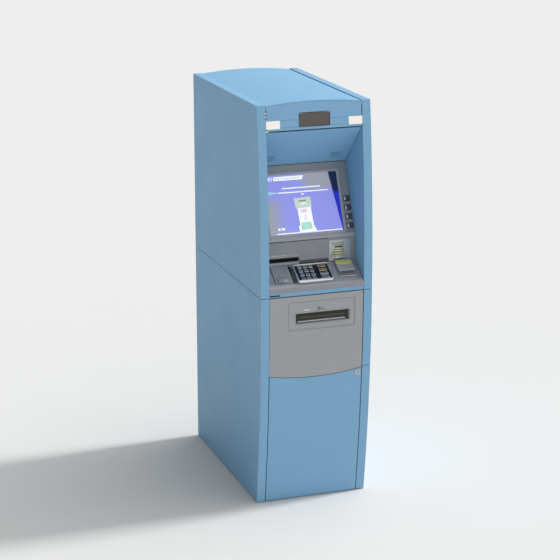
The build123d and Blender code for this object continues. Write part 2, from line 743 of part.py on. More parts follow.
def lower_door():
    """Bowed pan with a set-in edge frame, the pivot lug and the lock's hole."""
    top = arch_end_height
    skin = front_sheet(door_left, door_right, floor_gap, top, 0, sheet)
    edge_back = front_y(floor_gap) + door_thickness - door_pivot_y
    skin_reach = door_right - door_pivot_x
    edge_right = door_pivot_x + math.sqrt(skin_reach**2 - edge_back**2) - 1
    edge_left, edge_foot = door_left + 1, floor_gap + 2
    frame = front_sheet(edge_left, edge_right, edge_foot, top, sheet, door_thickness - sheet)
    hollow_x = (edge_left + sheet, edge_right - sheet)
    hollow = front_sheet(*hollow_x, edge_foot + sheet, top, sheet, door_thickness)
    outline = door_outline(0, rear)
    inner_outline = over_arch(
        arch_end_height - seam_gap - 4, arch_middle_height - seam_gap - 4, 0, niche_half, front - 1, rear
    )
    body = (skin & outline) + (frame & outline) - (hollow & inner_outline)
    lug_top = door_lug_foot + door_lug_height
    lug_half = door_pin_radius + 4
    lug_front, lug_back = front_y(door_lug_foot, sheet) - 0.2, door_pivot_y + lug_half
    lug = block(edge_left, door_pivot_x + lug_half, lug_front, lug_back, door_lug_foot, lug_top)
    lug &= front_slab(door_left, door_right, floor_gap, top, sheet / 2, rear)
    body += lug
    pin_hole = (door_pivot_x, door_pivot_y)
    body -= rod(door_pin_radius + pin_fit, (*pin_hole, door_lug_foot - 1), (*pin_hole, lug_top + 1))
    lock_y = front_y(lock_height)
    hole_ends = ((lock_x, lock_y - 9, lock_height), (lock_x, lock_y + 30, lock_height))
    return body - rod(lock_radius + pin_fit, *hole_ends)


def lower_door_lock():
    """Ring, barrel and the cam that turns behind the right pillar's lip."""
    ring, ring_thickness, barrel_depth, stem_radius = 1.5, 1.2, 14.0, 5.0
    cam_half, key_slot = 6.0, (0.6, 3.5)
    face = front_y(lock_height + lock_radius + ring) - ring
    cam_back = front_y(lock_height) + pillar_return + 6

    def along(radius, start, end):
        return rod(radius, (lock_x, start, lock_height), (lock_x, end, lock_height))

    body = along(lock_radius + ring, face, face + ring_thickness)
    body += along(lock_radius, face, face + barrel_depth)
    body += along(stem_radius, face + barrel_depth - 1, cam_back)
    cam = (lock_x - cam_half, lock_x + cam_half, cam_back - lock_cam_thickness, cam_back)
    body += block(*cam, lock_height - lock_cam_length, lock_height + cam_half)
    slot_x = (lock_x - key_slot[0], lock_x + key_slot[0])
    return body - block(*slot_x, face - 1, face + 3, lock_height - key_slot[1], lock_height + key_slot[1])


# ---- Safe ----
def safe_body():
    """Welded steel plates, hinge barrels, the lower door's bracket and the bars that carry the panels."""
    levels = (safe_wall, safe_height - safe_wall)
    inner_half, wall_back = safe_half - safe_wall, safe_rear - safe_wall
    floor_plate = block(-safe_half, safe_half, safe_front, safe_rear, 0, safe_wall)
    for side_x in (-1, 1):
        for side_y in (-1, 1):
            x, y = side_x * anchor_spacing_x / 2, anchor_middle_y + side_y * anchor_spacing_y / 2
            floor_plate -= rod(anchor_radius, (x, y, -1), (x, y, safe_wall + 1))
    plates = safe_front_strips(*levels) + [
        floor_plate,
        block(-safe_half, safe_half, safe_front, safe_rear, levels[1], safe_height),
        block(-safe_half, safe_half, wall_back, safe_rear, *levels),
        block(-safe_half, -inner_half, safe_front + safe_wall, wall_back, *levels),
        block(inner_half, safe_half, safe_front + safe_wall, wall_back, *levels),
    ]
    return plates + [safe_hinge_half(level) for level in safe_hinge_levels] + [door_bracket()] + panel_bars()


def safe_front_strips(foot_level, top_level):
    """Front wall of the safe as welded strips round the door opening and round the note throat."""
    left, right, foot, top = safe_opening
    throat_left, throat_right = mouth_left - throat_gap, mouth_right + throat_gap
    throat_foot, throat_top = mouth_foot_height - 2 * throat_gap, mouth_top_height + 2 * throat_gap
    strips = [
        (-safe_half, safe_half, foot_level, foot),
        (-safe_half, left, foot, top),
        (right, safe_half, foot, top),
        (-safe_half, safe_half, top, throat_foot),
        (-safe_half, throat_left, throat_foot, throat_top),
        (throat_right, safe_half, throat_foot, throat_top),
        (-safe_half, safe_half, throat_top, top_level),
    ]
    wall = (safe_front, safe_front + safe_wall)
    return [block(low_x, high_x, *wall, low_z, high_z) for low_x, high_x, low_z, high_z in strips]


def safe_hinge_half(level):
    """Welded hinge barrel with a pin standing up into the door's barrel."""
    pivot_y = safe_front - safe_hinge_setout
    middle = level + safe_hinge_length / 2 - 0.3
    barrel = rod(safe_hinge_radius, (safe_hinge_x, pivot_y, level), (safe_hinge_x, pivot_y, middle))
    barrel += block(safe_hinge_x - 7, safe_hinge_x, pivot_y, safe_front, level, middle)
    pin_top = level + safe_hinge_length - 4
    return barrel + rod(safe_pin_radius, (safe_hinge_x, pivot_y, middle), (safe_hinge_x, pivot_y, pin_top))


def door_bracket():
    """Two arms that reach the lower door's pivot from a post on the safe, with the pin between them."""
    arm_thickness, arm_gap, arm_angle, post_clearance = 6.0, 1.0, math.radians(28), 0.5
    post_left, post_right, post_depth = door_pivot_x + 24, door_pivot_x + 42, 30.0
    low_foot = door_lug_foot - arm_gap - arm_thickness
    high_foot = door_lug_foot + door_lug_height + arm_gap
    skin_inside = front_y(low_foot) + sheet
    arm_half = door_pivot_y - skin_inside - post_clearance
    aside_x, aside_y = arm_half * math.sin(arm_angle), arm_half * math.cos(arm_angle)
    climb = math.tan(arm_angle)
    lower = (door_pivot_x + aside_x, door_pivot_y - aside_y)
    upper = (door_pivot_x - aside_x, door_pivot_y + aside_y)
    corners = [
        lower,
        (post_right, lower[1] + (post_right - lower[0]) * climb),
        (post_right, safe_front),
        (post_left, safe_front),
        (post_left, upper[1] + (post_left - upper[0]) * climb),
        upper,
    ]
    post = (post_left, post_right, safe_front - post_depth, safe_front)
    body = block(*post, low_foot, high_foot + arm_thickness)
    for foot in (low_foot, high_foot):
        edges = [Line((*a, foot), (*b, foot)) for a, b in zip(corners, corners[1:] + corners[:1])]
        body += extrude(Face(Wire(edges)), amount=arm_thickness, dir=(0, 0, 1))
        eye = (door_pivot_x, door_pivot_y, foot)
        body += rod(arm_half, eye, (door_pivot_x, door_pivot_y, foot + arm_thickness))
    pin = ((door_pivot_x, door_pivot_y, low_foot), (door_pivot_x, door_pivot_y, high_foot + arm_thickness))
    return body + rod(door_pin_radius, *pin)


def panel_bars():
    """Bars from the safe's walls to the panels that hang on it, and ledges under the grey panel's top."""
    bar, bar_levels, bar_front, bar_rear = 20.0, (120.0, 400.0, 620.0), -150.0, 300.0
    ledge_near, ledge_far, ledge_thickness, post = 60.0, 90.0, 8.0, 12.0
    ledge_top = base_top - 1 - moulding
    bars = []
    for side in (-1, 1):
        reach = sorted((side * safe_half, side * (half_width - sheet)))
        bars += [block(*reach, bar_front, bar_rear, level, level + bar) for level in bar_levels]
        ledge = sorted((side * ledge_near, side * ledge_far))
        bars.append(block(*ledge, front + 5, safe_front, ledge_top - ledge_thickness, ledge_top))
        bars.append(block(*ledge, safe_front, safe_front + post, safe_height, ledge_top))
    bars.append(block(-100, 100, safe_rear, rear - sheet, bar_levels[1] - bar, bar_levels[1]))
    return bars


def safe_door():
    """Steel slab with hinge barrels, bores for handle and dial, and guides for the bolts."""
    guide_left, guide_right, guide_half, strap = 100.0, 118.0, 14.0, 4.0
    left, right, foot, top = safe_opening
    gap = safe_door_gap
    back_face = safe_front + safe_door_thickness
    slab = block(left + gap, right - gap, safe_front, back_face, foot + gap, top - gap)
    pivot_y = safe_front - safe_hinge_setout
    for level in safe_hinge_levels:
        low, high = level + safe_hinge_length / 2, level + safe_hinge_length
        slab += rod(safe_hinge_radius, (safe_hinge_x, pivot_y, low), (safe_hinge_x, pivot_y, high))
        slab += block(safe_hinge_x, left + 30, safe_front - strap, safe_front, low, high)
        slab += block(safe_hinge_x, safe_hinge_x + safe_hinge_radius, pivot_y, safe_front, low, high)
        hole_ends = ((safe_hinge_x, pivot_y, low - 1), (safe_hinge_x, pivot_y, high - 3))
        slab -= rod(safe_pin_radius + pin_fit, *hole_ends)
    for level in (handle_height, dial_height):
        bore_ends = ((handle_x, safe_front - 1, level), (handle_x, back_face + 1, level))
        slab -= rod(shaft_radius + pin_fit, *bore_ends)
    bolt_y = back_face + bolt_radius + bolt_setback
    for level in bolt_levels:
        guide_levels = (level - guide_half, level + guide_half)
        guide = block(guide_left, guide_right, back_face, bolt_y + bolt_radius + strap, *guide_levels)
        bore_ends = ((guide_left - 1, bolt_y, level), (guide_right + 1, bolt_y, level))
        slab += guide - rod(bolt_radius + running_gap, *bore_ends)
    return slab


def safe_bolt_bar():
    """Upright bar with three round bolts that slide right behind the frame."""
    bar_x, bar_half, overhang, bolt_end_gap = 76.0, 6.0, 20.0, 6.5
    bolt_y = safe_front + safe_door_thickness + bolt_radius + bolt_setback
    end_x = safe_opening[1] - safe_door_gap - bolt_end_gap
    low, high = bolt_levels[0] - overhang, bolt_levels[-1] + overhang
    body = block(bar_x - bar_half, bar_x + bar_half, bolt_y - bar_half, bolt_y + bar_half, low, high)
    for level in bolt_levels:
        bolt = rod(bolt_radius, (bar_x, bolt_y, level), (end_x, bolt_y, level))
        body += chamfer(bolt.edges().group_by(Axis.X)[-1], 1.5)
    return body


def safe_handle():
    """Lever handle on a hub, with a shaft through the door."""
    hub_radius, hub_out, grip_back, grip_thickness, grip_half = 16.0, 22.0, 28.0, 8.0, 8.0
    grip_front = safe_front - grip_back - grip_thickness
    shaft_end = safe_front + safe_door_thickness + 3

    def along(radius, start, end):
        return rod(radius, (handle_x, start, handle_height), (handle_x, end, handle_height))

    body = along(hub_radius, safe_front - hub_out, safe_front - 0.5)
    body += along(shaft_radius, safe_front - hub_out, shaft_end)
    body += along(shaft_radius + 1, grip_front + grip_half - 2, safe_front - hub_out + 2)
    grip_x = (handle_x - handle_length, handle_x + grip_half)
    grip_z = (handle_height - grip_half, handle_height + grip_half)
    grip = block(*grip_x, grip_front, grip_front + grip_thickness, *grip_z)
    return body + fillet(grip.edges().filter_by(Axis.Y), 6)


def safe_dial():
    """Combination dial with a knurled knob and its spindle."""
    plate_out, knob_out, flute_radius, flute_count = 14.0, 26.0, 1.5, 12
    knob_radius = dial_radius / 2
    spindle_end = safe_front + safe_door_thickness + 1

    def along(radius, start, end, x=handle_x, z=dial_height):
        return rod(radius, (x, start, z), (x, end, z))

    body = along(dial_radius, safe_front - plate_out, safe_front - 0.5)
    body += along(knob_radius, safe_front - knob_out, safe_front - plate_out)
    for step in range(flute_count):
        angle = 2 * math.pi * step / flute_count
        x, z = handle_x + knob_radius * math.cos(angle), dial_height + knob_radius * math.sin(angle)
        body -= along(flute_radius, safe_front - knob_out - 1, safe_front - plate_out - 1, x, z)
    return body + along(shaft_radius, safe_front - plate_out, spindle_end)


# ---- Inside the safe ----
def cash_cassettes():
    """Stack of note boxes, each with a lid line and a carrying handle."""
    half, y0 = cassette_width / 2, safe_front + 50
    boxes = []
    for number in range(cassette_count):
        z = cassette_first_level + number * cassette_pitch
        box = block(-half, half, y0, y0 + cassette_length, z, z + cassette_height)
        box -= block(-half - 1, half + 1, y0 - 1, y0 + 1, z + cassette_height - 16, z + cassette_height - 15)
        box -= block(-45, 45, y0 - 1, y0 + 14, z + 30, z + 62)
        boxes.append(box + block(-46, 46, y0 + 1, y0 + 6, z + 50, z + 57))
    return boxes


def dispenser_unit():
    """Note transport above a rack for the cassettes, with the throat that reaches the mouth."""
    plate_thickness, ledge_width, ledge_thickness, throat_wall, throat_reach = 3.0, 9.0, 3.0, 3.0, 80.0
    half = cassette_width / 2 + rack_gap
    y0, y1 = safe_front + 56, safe_front + 460
    top_level = cassette_first_level + cassette_count * cassette_pitch + 4
    outer = half + plate_thickness
    throat_back = front + mouth_depth + shutter_thickness + 3
    throat_levels = (mouth_foot_height - throat_wall, mouth_top_height + throat_wall)
    throat = block(mouth_left, mouth_right, throat_back, y0, *throat_levels)
    inside_x = (mouth_left + throat_wall, mouth_right - throat_wall)
    inside = (*inside_x, throat_back - 1, throat_back + throat_reach)
    throat -= block(*inside, mouth_foot_height, mouth_top_height)
    solids = [block(-outer, outer, y0, y1, top_level, safe_height - safe_wall - 8), throat]
    for side in (-1, 1):
        solids.append(block(*sorted((side * half, side * outer)), y0, y1, safe_wall, top_level))
        ledge_x = sorted((side * (half - ledge_width), side * half))
        for number in range(cassette_count):
            z = cassette_first_level + number * cassette_pitch
            solids.append(block(*ledge_x, y0, y1, z - ledge_thickness, z))
    return solids


def head_rails():
    """Two slotted rails bolted on the safe's top."""
    half, cavity_half = rail_width / 2, rail_width / 2 - rail_wall
    cavity_top = rail_top - rail_lip
    cavity_foot = cavity_top - rail_bar_height
    length = (rail_front - 1, rail_rear + 1)
    rails = []
    for side in (-1, 1):
        x = side * rail_x
        rail = block(x - half, x + half, rail_front, rail_rear, rail_foot, rail_top)
        cavity = (x - cavity_half, x + cavity_half, *length)
        rail -= block(*cavity, cavity_foot, cavity_top)
        rail -= block(x - rail_slot / 2, x + rail_slot / 2, *length, cavity_foot, rail_top + 1)
        rail -= block(*cavity, rail_foot + rail_wall, cavity_foot - rail_wall)
        rails.append(rail)
    return rails


# ---- Every node, by name ----
nodes = {
    "safe_body": safe_body(),
    "lower_left_side_panel": lower_side_panel(-1, floor_gap, base_top),
    "lower_right_side_panel": lower_side_panel(1, floor_gap, panel_seam_height - seam_gap / 2),
    "middle_right_side_panel": lower_side_panel(1, panel_seam_height + seam_gap / 2, base_top),
    "lower_rear_panel": lower_rear_panel(),
    "dispenser_panel": dispenser_panel(),
    "dispenser_bezel": dispenser_bezel(),
    "dispenser_unit": dispenser_unit(),
    "cash_cassettes": cash_cassettes(),
    "head_rails": head_rails(),
    "cash_shutter": cash_shutter(),
    "lower_door": lower_door(),
    "lower_door_lock": lower_door_lock(),
    "safe_door": safe_door(),
    "safe_bolt_bar": safe_bolt_bar(),
    "safe_handle": safe_handle(),
    "safe_dial": safe_dial(),
    "upper_left_side_panel": upper_side_panel(-1),
    "upper_right_side_panel": upper_side_panel(1),
    "top_cover": top_cover(),
    "header_panel": header_panel(),
    "header_lamps": header_lamps(),
    "header_window": header_window(),
    "soffit_panel": soffit_panel(),
    "screen_fascia": screen_fascia(),
    "display_unit": display_unit(),
    "display_glass": glass(0, 0),
    "console_shelf": console_shelf(),
    "keypad_housing": keypad_housing(),
    "card_reader": card_reader(),
    "contactless_pad": contactless_pad(),
    "receipt_printer": receipt_printer(),
    "pc_core": pc_core(),
    "head_frame": head_frame(),
    "head_rear_panel": head_rear_panel(),
    "power_inlet": power_inlet(),
}
for name, x, s in key_places():
    nodes[name] = function_key(x, s)
for name, x, s, key_width in keypad_keys():
    nodes[name] = keypad_key(x, s, key_width)

os.makedirs("parts", exist_ok=True)
for name, shape in nodes.items():
    solids = shape if isinstance(shape, list) else [shape]
    export_step(Compound(children=solids), f"parts/{name}.step")
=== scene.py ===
import json
import math

import bmesh
import bpy
import numpy as np
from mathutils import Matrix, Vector


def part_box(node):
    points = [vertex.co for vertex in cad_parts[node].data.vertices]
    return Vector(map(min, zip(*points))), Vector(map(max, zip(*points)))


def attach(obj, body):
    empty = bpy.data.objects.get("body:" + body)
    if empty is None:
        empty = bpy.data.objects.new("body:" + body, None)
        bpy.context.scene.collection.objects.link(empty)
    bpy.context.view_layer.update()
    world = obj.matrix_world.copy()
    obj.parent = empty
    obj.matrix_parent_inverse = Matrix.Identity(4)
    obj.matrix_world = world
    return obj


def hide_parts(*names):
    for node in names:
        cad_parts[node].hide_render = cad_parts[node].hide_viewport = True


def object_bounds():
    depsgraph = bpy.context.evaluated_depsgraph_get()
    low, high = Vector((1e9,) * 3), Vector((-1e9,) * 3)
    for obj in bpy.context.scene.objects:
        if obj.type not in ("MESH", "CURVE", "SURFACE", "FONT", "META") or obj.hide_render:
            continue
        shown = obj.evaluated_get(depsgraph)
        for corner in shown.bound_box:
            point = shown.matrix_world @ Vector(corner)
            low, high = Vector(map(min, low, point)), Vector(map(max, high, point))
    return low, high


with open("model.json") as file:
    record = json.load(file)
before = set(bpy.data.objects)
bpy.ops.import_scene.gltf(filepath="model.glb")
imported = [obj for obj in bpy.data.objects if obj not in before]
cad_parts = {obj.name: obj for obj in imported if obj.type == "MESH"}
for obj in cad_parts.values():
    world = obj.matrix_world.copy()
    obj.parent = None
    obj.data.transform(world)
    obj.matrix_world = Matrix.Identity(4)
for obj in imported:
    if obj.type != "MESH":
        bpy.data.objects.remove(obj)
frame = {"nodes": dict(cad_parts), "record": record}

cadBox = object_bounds()
print("frame loaded")

record = frame["record"]
mm = 0.001


def linear(hexColour):
    # sRGB hex to linear RGBA
    parts = [int(hexColour[i:i + 2], 16) / 255 for i in (1, 3, 5)]
    return (*[p / 12.92 if p <= 0.04045 else ((p + 0.055) / 1.055) ** 2.4 for p in parts], 1.0)


def addNode(tree, kind, inputs=None, **settings):
    # one node, its settings, and its sockets as values or links
    made = tree.nodes.new(kind)
    for name, value in settings.items():
        setattr(made, name, value)
    for socket, value in (inputs or {}).items():
        if isinstance(value, bpy.types.NodeSocket):
            tree.links.new(value, made.inputs[socket])
        else:
            made.inputs[socket].default_value = value
    return made


def startMaterial(name, **shader):
    # a material with one Principled shader, its constants and its Object coordinates
    material = bpy.data.materials.new(name)
    material.use_nodes = True
    tree = material.node_tree
    principled = tree.nodes["Principled BSDF"]
    for socket, value in shader.items():
        principled.inputs[socket.replace("_", " ")].default_value = value
    coords = addNode(tree, "ShaderNodeTexCoord").outputs["Object"]
    return material, tree, principled, coords


def finishedSurface(name, colour, colourShift, mottleMm, roughness, roughShift, bumpMm, bumpDepthMm,
                    edgeMm=0.6, stretch=(1, 1, 1), **shader):
    # paint or moulding: two hexes mixed by a slow noise, roughness by a second one,
    # and a fine bump over edges softened by edgeMm
    material, tree, principled, coords = startMaterial(name, **shader)
    mapped = addNode(tree, "ShaderNodeMapping", {"Vector": coords, "Scale": stretch}).outputs["Vector"]
    mottle = addNode(tree, "ShaderNodeTexNoise",
                     {"Vector": mapped, "Scale": 1 / (mottleMm * mm), "Detail": 4.0, "Roughness": 0.6})
    mix = addNode(tree, "ShaderNodeMix",
                  {"Factor": mottle.outputs["Fac"], "A": linear(colour), "B": linear(colourShift)},
                  data_type="RGBA")
    tree.links.new(mix.outputs["Result"], principled.inputs["Base Color"])
    smudge = addNode(tree, "ShaderNodeTexNoise",
                     {"Vector": mapped, "Scale": 1 / (3.7 * mottleMm * mm), "Detail": 3.0})
    rough = addNode(tree, "ShaderNodeMapRange",
                    {"Value": smudge.outputs["Fac"], "From Min": 0.3, "From Max": 0.7,
                     "To Min": roughness - roughShift, "To Max": roughness + roughShift})
    tree.links.new(rough.outputs["Result"], principled.inputs["Roughness"])
    grain = addNode(tree, "ShaderNodeTexNoise",
                    {"Vector": mapped, "Scale": 1 / (bumpMm * mm), "Detail": 2.0, "Roughness": 0.5})
    soft = addNode(tree, "ShaderNodeBevel", {"Radius": edgeMm * mm}, samples=4)
    bump = addNode(tree, "ShaderNodeBump",
                   {"Height": grain.outputs["Fac"], "Distance": bumpDepthMm * mm, "Strength": 1.0,
                    "Normal": soft.outputs["Normal"]})
    tree.links.new(bump.outputs["Normal"], principled.inputs["Normal"])
    return material


# polyester powder coat on steel: even light blue, satin, with the faint orange peel of a baked coat
blueCoat = finishedSurface("powder_coat_blue", "#7BABCD", "#80AFD1", 38, 0.56, 0.05, 1.6, 0.035, IOR=1.45)
# the same coat on the plainer inner frame
frameCoat = finishedSurface("powder_coat_blue_inner", "#76A6CA", "#7FADD0", 24, 0.5, 0.06, 1.6, 0.04, IOR=1.5)
# stoved grey enamel: flatter than the blue, with a fine leather texture
greyEnamel = finishedSurface("stoved_enamel_grey", "#9C9EA2", "#A3A5A9", 30, 0.46, 0.05, 1.2, 0.04, IOR=1.5)
# injection-moulded ABS with a spark-eroded grain, drawn at 1 mm so that it shows
fasciaAbs = finishedSurface("moulded_abs_grey", "#868990", "#8D9097", 22, 0.5, 0.06, 1.0, 0.05, IOR=1.53)
consoleAbs = finishedSurface("moulded_abs_dark_grey", "#8A8D94", "#92959C", 20, 0.48, 0.07, 1.0, 0.05,
                             IOR=1.53)
# pale rubber: rougher than the mouldings, with hardly any shine
padRubber = finishedSurface("moulded_rubber_pale_grey", "#90939C", "#989BA4", 14, 0.6, 0.06, 0.8, 0.05,
                            IOR=1.52)
# the grained moulding in black, for what stands in shadow, and in slate grey for the function keys
blackAbs = finishedSurface("moulded_abs_black", "#17181B", "#1F2023", 12, 0.42, 0.07, 0.9, 0.04, IOR=1.53)
keyAbs = finishedSurface("moulded_abs_key", "#4A4E58", "#555964", 8, 0.4, 0.05, 0.7, 0.03, IOR=1.53)
# smoked acrylic: a brown-black tint under a smooth polished face
smokedAcrylic = finishedSurface("smoked_acrylic", "#524D47", "#5A544E", 26, 0.22, 0.04, 6.0, 0.01, IOR=1.49)
# hammered enamel on the safe: dark, with dimples about 4 mm across
safeEnamel = finishedSurface("hammered_enamel_dark", "#4C5258", "#575D64", 9, 0.38, 0.06, 4.0, 0.35, IOR=1.5)
# tough dark plastic of the note boxes, plain and slightly dusty
cassetteAbs = finishedSurface("moulded_polycarbonate_box", "#3A3F47", "#434851", 16, 0.5, 0.06, 1.0, 0.05,
                              IOR=1.58)
# brushed stainless: long fine scratches along X, bright and slightly uneven
brushedSteel = finishedSurface("brushed_stainless", "#C9CBCE", "#D6D8DA", 2.5, 0.3, 0.08, 0.8, 0.02,
                               stretch=(0.06, 1, 1), Metallic=1.0)
# zinc plate: duller, with soft cloudy patches
zincPlate = finishedSurface("zinc_plated_steel", "#A9ACAE", "#BBBEC0", 9, 0.36, 0.1, 3.0, 0.02, Metallic=1.0)
# polished chrome plate, almost mirror bright
chromePlate = finishedSurface("chrome_plate", "#D8DADC", "#E2E4E6", 12, 0.08, 0.03, 8.0, 0.004, Metallic=1.0)
# white for the ring round the lock: a small clean painted highlight
lockWhiteHighlight = finishedSurface("white_painted_highlight", "#EDEDED", "#F4F4F4", 5, 0.35, 0.05, 0.8, 0.02, IOR=1.53)


def glowing(name, colour, colourShift, strength, patchMm=30, roughness=0.3):
    # lit acrylic or a lit part of the display: colour mixed by a slow noise, and glowing with it
    material = finishedSurface(name, colour, colourShift, patchMm, roughness, 0.03, 5.0, 0.004, IOR=1.49,
                               Coat_Weight=0.6, Coat_Roughness=0.06)
    tree = material.node_tree
    principled = tree.nodes["Principled BSDF"]
    source = principled.inputs["Base Color"].links[0].from_socket
    tree.links.new(source, principled.inputs["Emission Color"])
    principled.inputs["Emission Strength"].default_value = strength
    return material


# opal acrylic lens, lit from behind
opalLens = glowing("opal_acrylic", "#D6D1CA", "#DCD8D1", 0.42)


def meshPiece(name, points, faces, body, slotName, materials, faceMaterial=None, smooth=True, replaces=()):
    # one mesh object that rides on a body and may take the place of CAD nodes
    mesh = bpy.data.meshes.new(name)
    mesh.from_pydata(points.reshape(-1, 3).tolist(), [], [list(f) for f in faces])
    for material in materials:
        mesh.materials.append(material)
    if faceMaterial is not None:
        mesh.polygons.foreach_set("material_index", np.asarray(faceMaterial, dtype=np.int32))
    mesh.polygons.foreach_set("use_smooth", np.full(len(mesh.polygons), smooth))
    mesh.validate()
    piece = bpy.data.objects.new(name, mesh)
    bpy.context.collection.objects.link(piece)
    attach(piece, body)
    if replaces:
        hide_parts(*replaces)
    return piece


def gridFaces(rows, columns, wrap, start=0):
    # quads of a grid whose columns may close on themselves
    row, column = np.meshgrid(np.arange(rows - 1), np.arange(columns if wrap else columns - 1), indexing="ij")
    after = (column + 1) % columns
    corners = [row * columns + column, row * columns + after, (row + 1) * columns + after,
               (row + 1) * columns + column]
    return start + np.stack(corners, axis=-1).reshape(-1, 4)


def roundedPlate(origin, axes, size, corner, depth, edge, dish=0.0, around=40):
    # a plate as rings of one rounded outline: out at the back, up the side, over a quarter-round
    # edge of radius edge, then in to the middle, which is dish lower than the rim
    across, up, out = axes
    edgeSteps, flatSteps, nearMiddle = 5, 6, 0.999
    quarter = np.linspace(0, np.pi / 2, edgeSteps)
    flat = np.linspace(0, 1, flatSteps)[1:]
    deepest = min(size) / 2 * nearMiddle
    inset = np.concatenate([[deepest, 0, 0], edge * (1 - np.cos(quarter))[1:],
                            edge + (deepest - edge) * flat])
    lift = np.concatenate([[-depth, -depth, -edge], edge * (np.sin(quarter) - 1)[1:], -dish * flat**0.5])
    angle = (np.arange(around) + 0.5) / around * 2 * np.pi
    signX, signY = np.sign(np.cos(angle)), np.sign(np.sin(angle))
    radius = np.maximum(corner - inset, 0)[:, None]
    coreX = (size[0] / 2 - np.minimum(inset, size[0] / 2))[:, None] - radius
    coreY = (size[1] / 2 - np.minimum(inset, size[1] / 2))[:, None] - radius
    x = signX * np.maximum(coreX, 0) + radius * np.cos(angle)
    y = signY * np.maximum(coreY, 0) + radius * np.sin(angle)
    z = np.broadcast_to(lift[:, None], x.shape)
    points = origin + x[..., None] * across + y[..., None] * up + z[..., None] * out
    rows = len(inset)
    faces = gridFaces(rows, around, True).tolist()
    faces.append(list(range(around))[::-1])
    faces.append(list(range((rows - 1) * around, rows * around)))
    return points.reshape(-1, 3), faces


def joined(parts):
    # several (points, faces) as one, with each part's number as its faces' material
    points, faces, number = [], [], []
    start = 0
    for index, (partPoints, partFaces) in parts:
        points.append(partPoints)
        faces += [[start + v for v in f] for f in partFaces]
        number += [index] * len(partFaces)
        start += len(partPoints)
    return np.concatenate(points), faces, number


def revolved(origin, axes, profile, around=48):
    # profile rows are (radius, height); each is carried round the third axis
    across, up, out = axes
    angle = np.arange(around) / around * 2 * np.pi
    radius, height = np.asarray(profile).T
    points = (origin + radius[:, None, None] * (np.cos(angle)[:, None] * across + np.sin(angle)[:, None] * up)
              + height[:, None, None] * out)
    return points.reshape(-1, 3), gridFaces(len(radius), around, True).tolist()


def jointNamed(name):
    return next(joint for joint in record["behaviour"]["joints"] if joint["name"] == name)


def pressNormal(jointName):
    # a key travels against the normal of the face it stands in
    return -np.array(jointNamed(jointName)["axis"], dtype=float)


acrossX = np.array([1.0, 0, 0])
fasciaOut = pressNormal("function_key_right_1_press")
fasciaAxes = (acrossX, np.cross(fasciaOut, acrossX), fasciaOut)
shelfOut = pressNormal("keypad_key_1_1_press")
shelfAxes = (acrossX, np.cross(shelfOut, acrossX), shelfOut)
frontAxes = (acrossX, np.array([0, 0, 1.0]), np.array([0, -1.0, 0]))


def spot(origin, axes, x, y, z=0.0):
    return origin + x * axes[0] + y * axes[1] + z * axes[2]


def placeOn(origin, axes):
    # turns (x, s, up) in mm into a place: x across, s down the face and up off it
    return lambda x, s, up: spot(origin, axes, x * mm, -s * mm, up * mm)


def reach(node, direction):
    # lowest and highest of a CAD node's vertices along a direction
    mesh = frame["nodes"][node].data
    places = np.empty(len(mesh.vertices) * 3)
    mesh.vertices.foreach_get("co", places)
    along = places.reshape(-1, 3) @ direction
    return along.min(), along.max()


def topOf(node, axes):
    # middle of a node's outer face on sloping axes, and its size along the first two
    spans = np.array([reach(node, axis) for axis in axes])
    centre = spans.mean(axis=1)
    size = np.diff(spans, axis=1).ravel()[:2]
    return centre[0] * axes[0] + centre[1] * axes[1] + spans[2, 1] * axes[2], size


lowCorner = np.array(cadBox[0])
fasciaLow, fasciaHigh = (np.array(corner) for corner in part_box("screen_fascia"))
shelfHigh = np.array(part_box("console_shelf")[1])
wall = 3 * mm
fasciaTop = np.array([0, fasciaHigh[1] + wall * fasciaOut[1], fasciaHigh[2]])
shelfTop = np.array([0, fasciaLow[1], shelfHigh[2]])
bow = {"radius": 5396 * mm, "level": 758 * mm}


def frontY(z, inset=0.0):
    # seen from the side the front is an arc of a circle, foremost at bow level
    return lowCorner[1] + bow["radius"] - np.sqrt((bow["radius"] - inset) ** 2 - (z - bow["level"]) ** 2)


def bowed(points, level):
    # points laid out on the upright plane through the front at one level, moved back by the bow at their own
    moved = points.copy()
    moved[:, 1] += frontY(points[:, 2]) - frontY(level)
    return moved


def onFascia(x, s, lift=0.0):
    return spot(fasciaTop, fasciaAxes, x * mm, -s * mm, lift * mm)


def onShelf(x, s, lift=0.0):
    return spot(shelfTop, shelfAxes, x * mm, -s * mm, lift * mm)


def shelfPlate(plate, moveX=0.0, moveS=0.0):
    # a rounded plate on the shelf from ((x, s, lift), (across, down), corner, depth, edge), all in mm
    (x, s, lift), size, corner, depth, edge = plate
    origin = onShelf(x + moveX, s + moveS, lift)
    return roundedPlate(origin, shelfAxes, np.array(size) * mm, corner * mm, depth * mm, edge * mm)


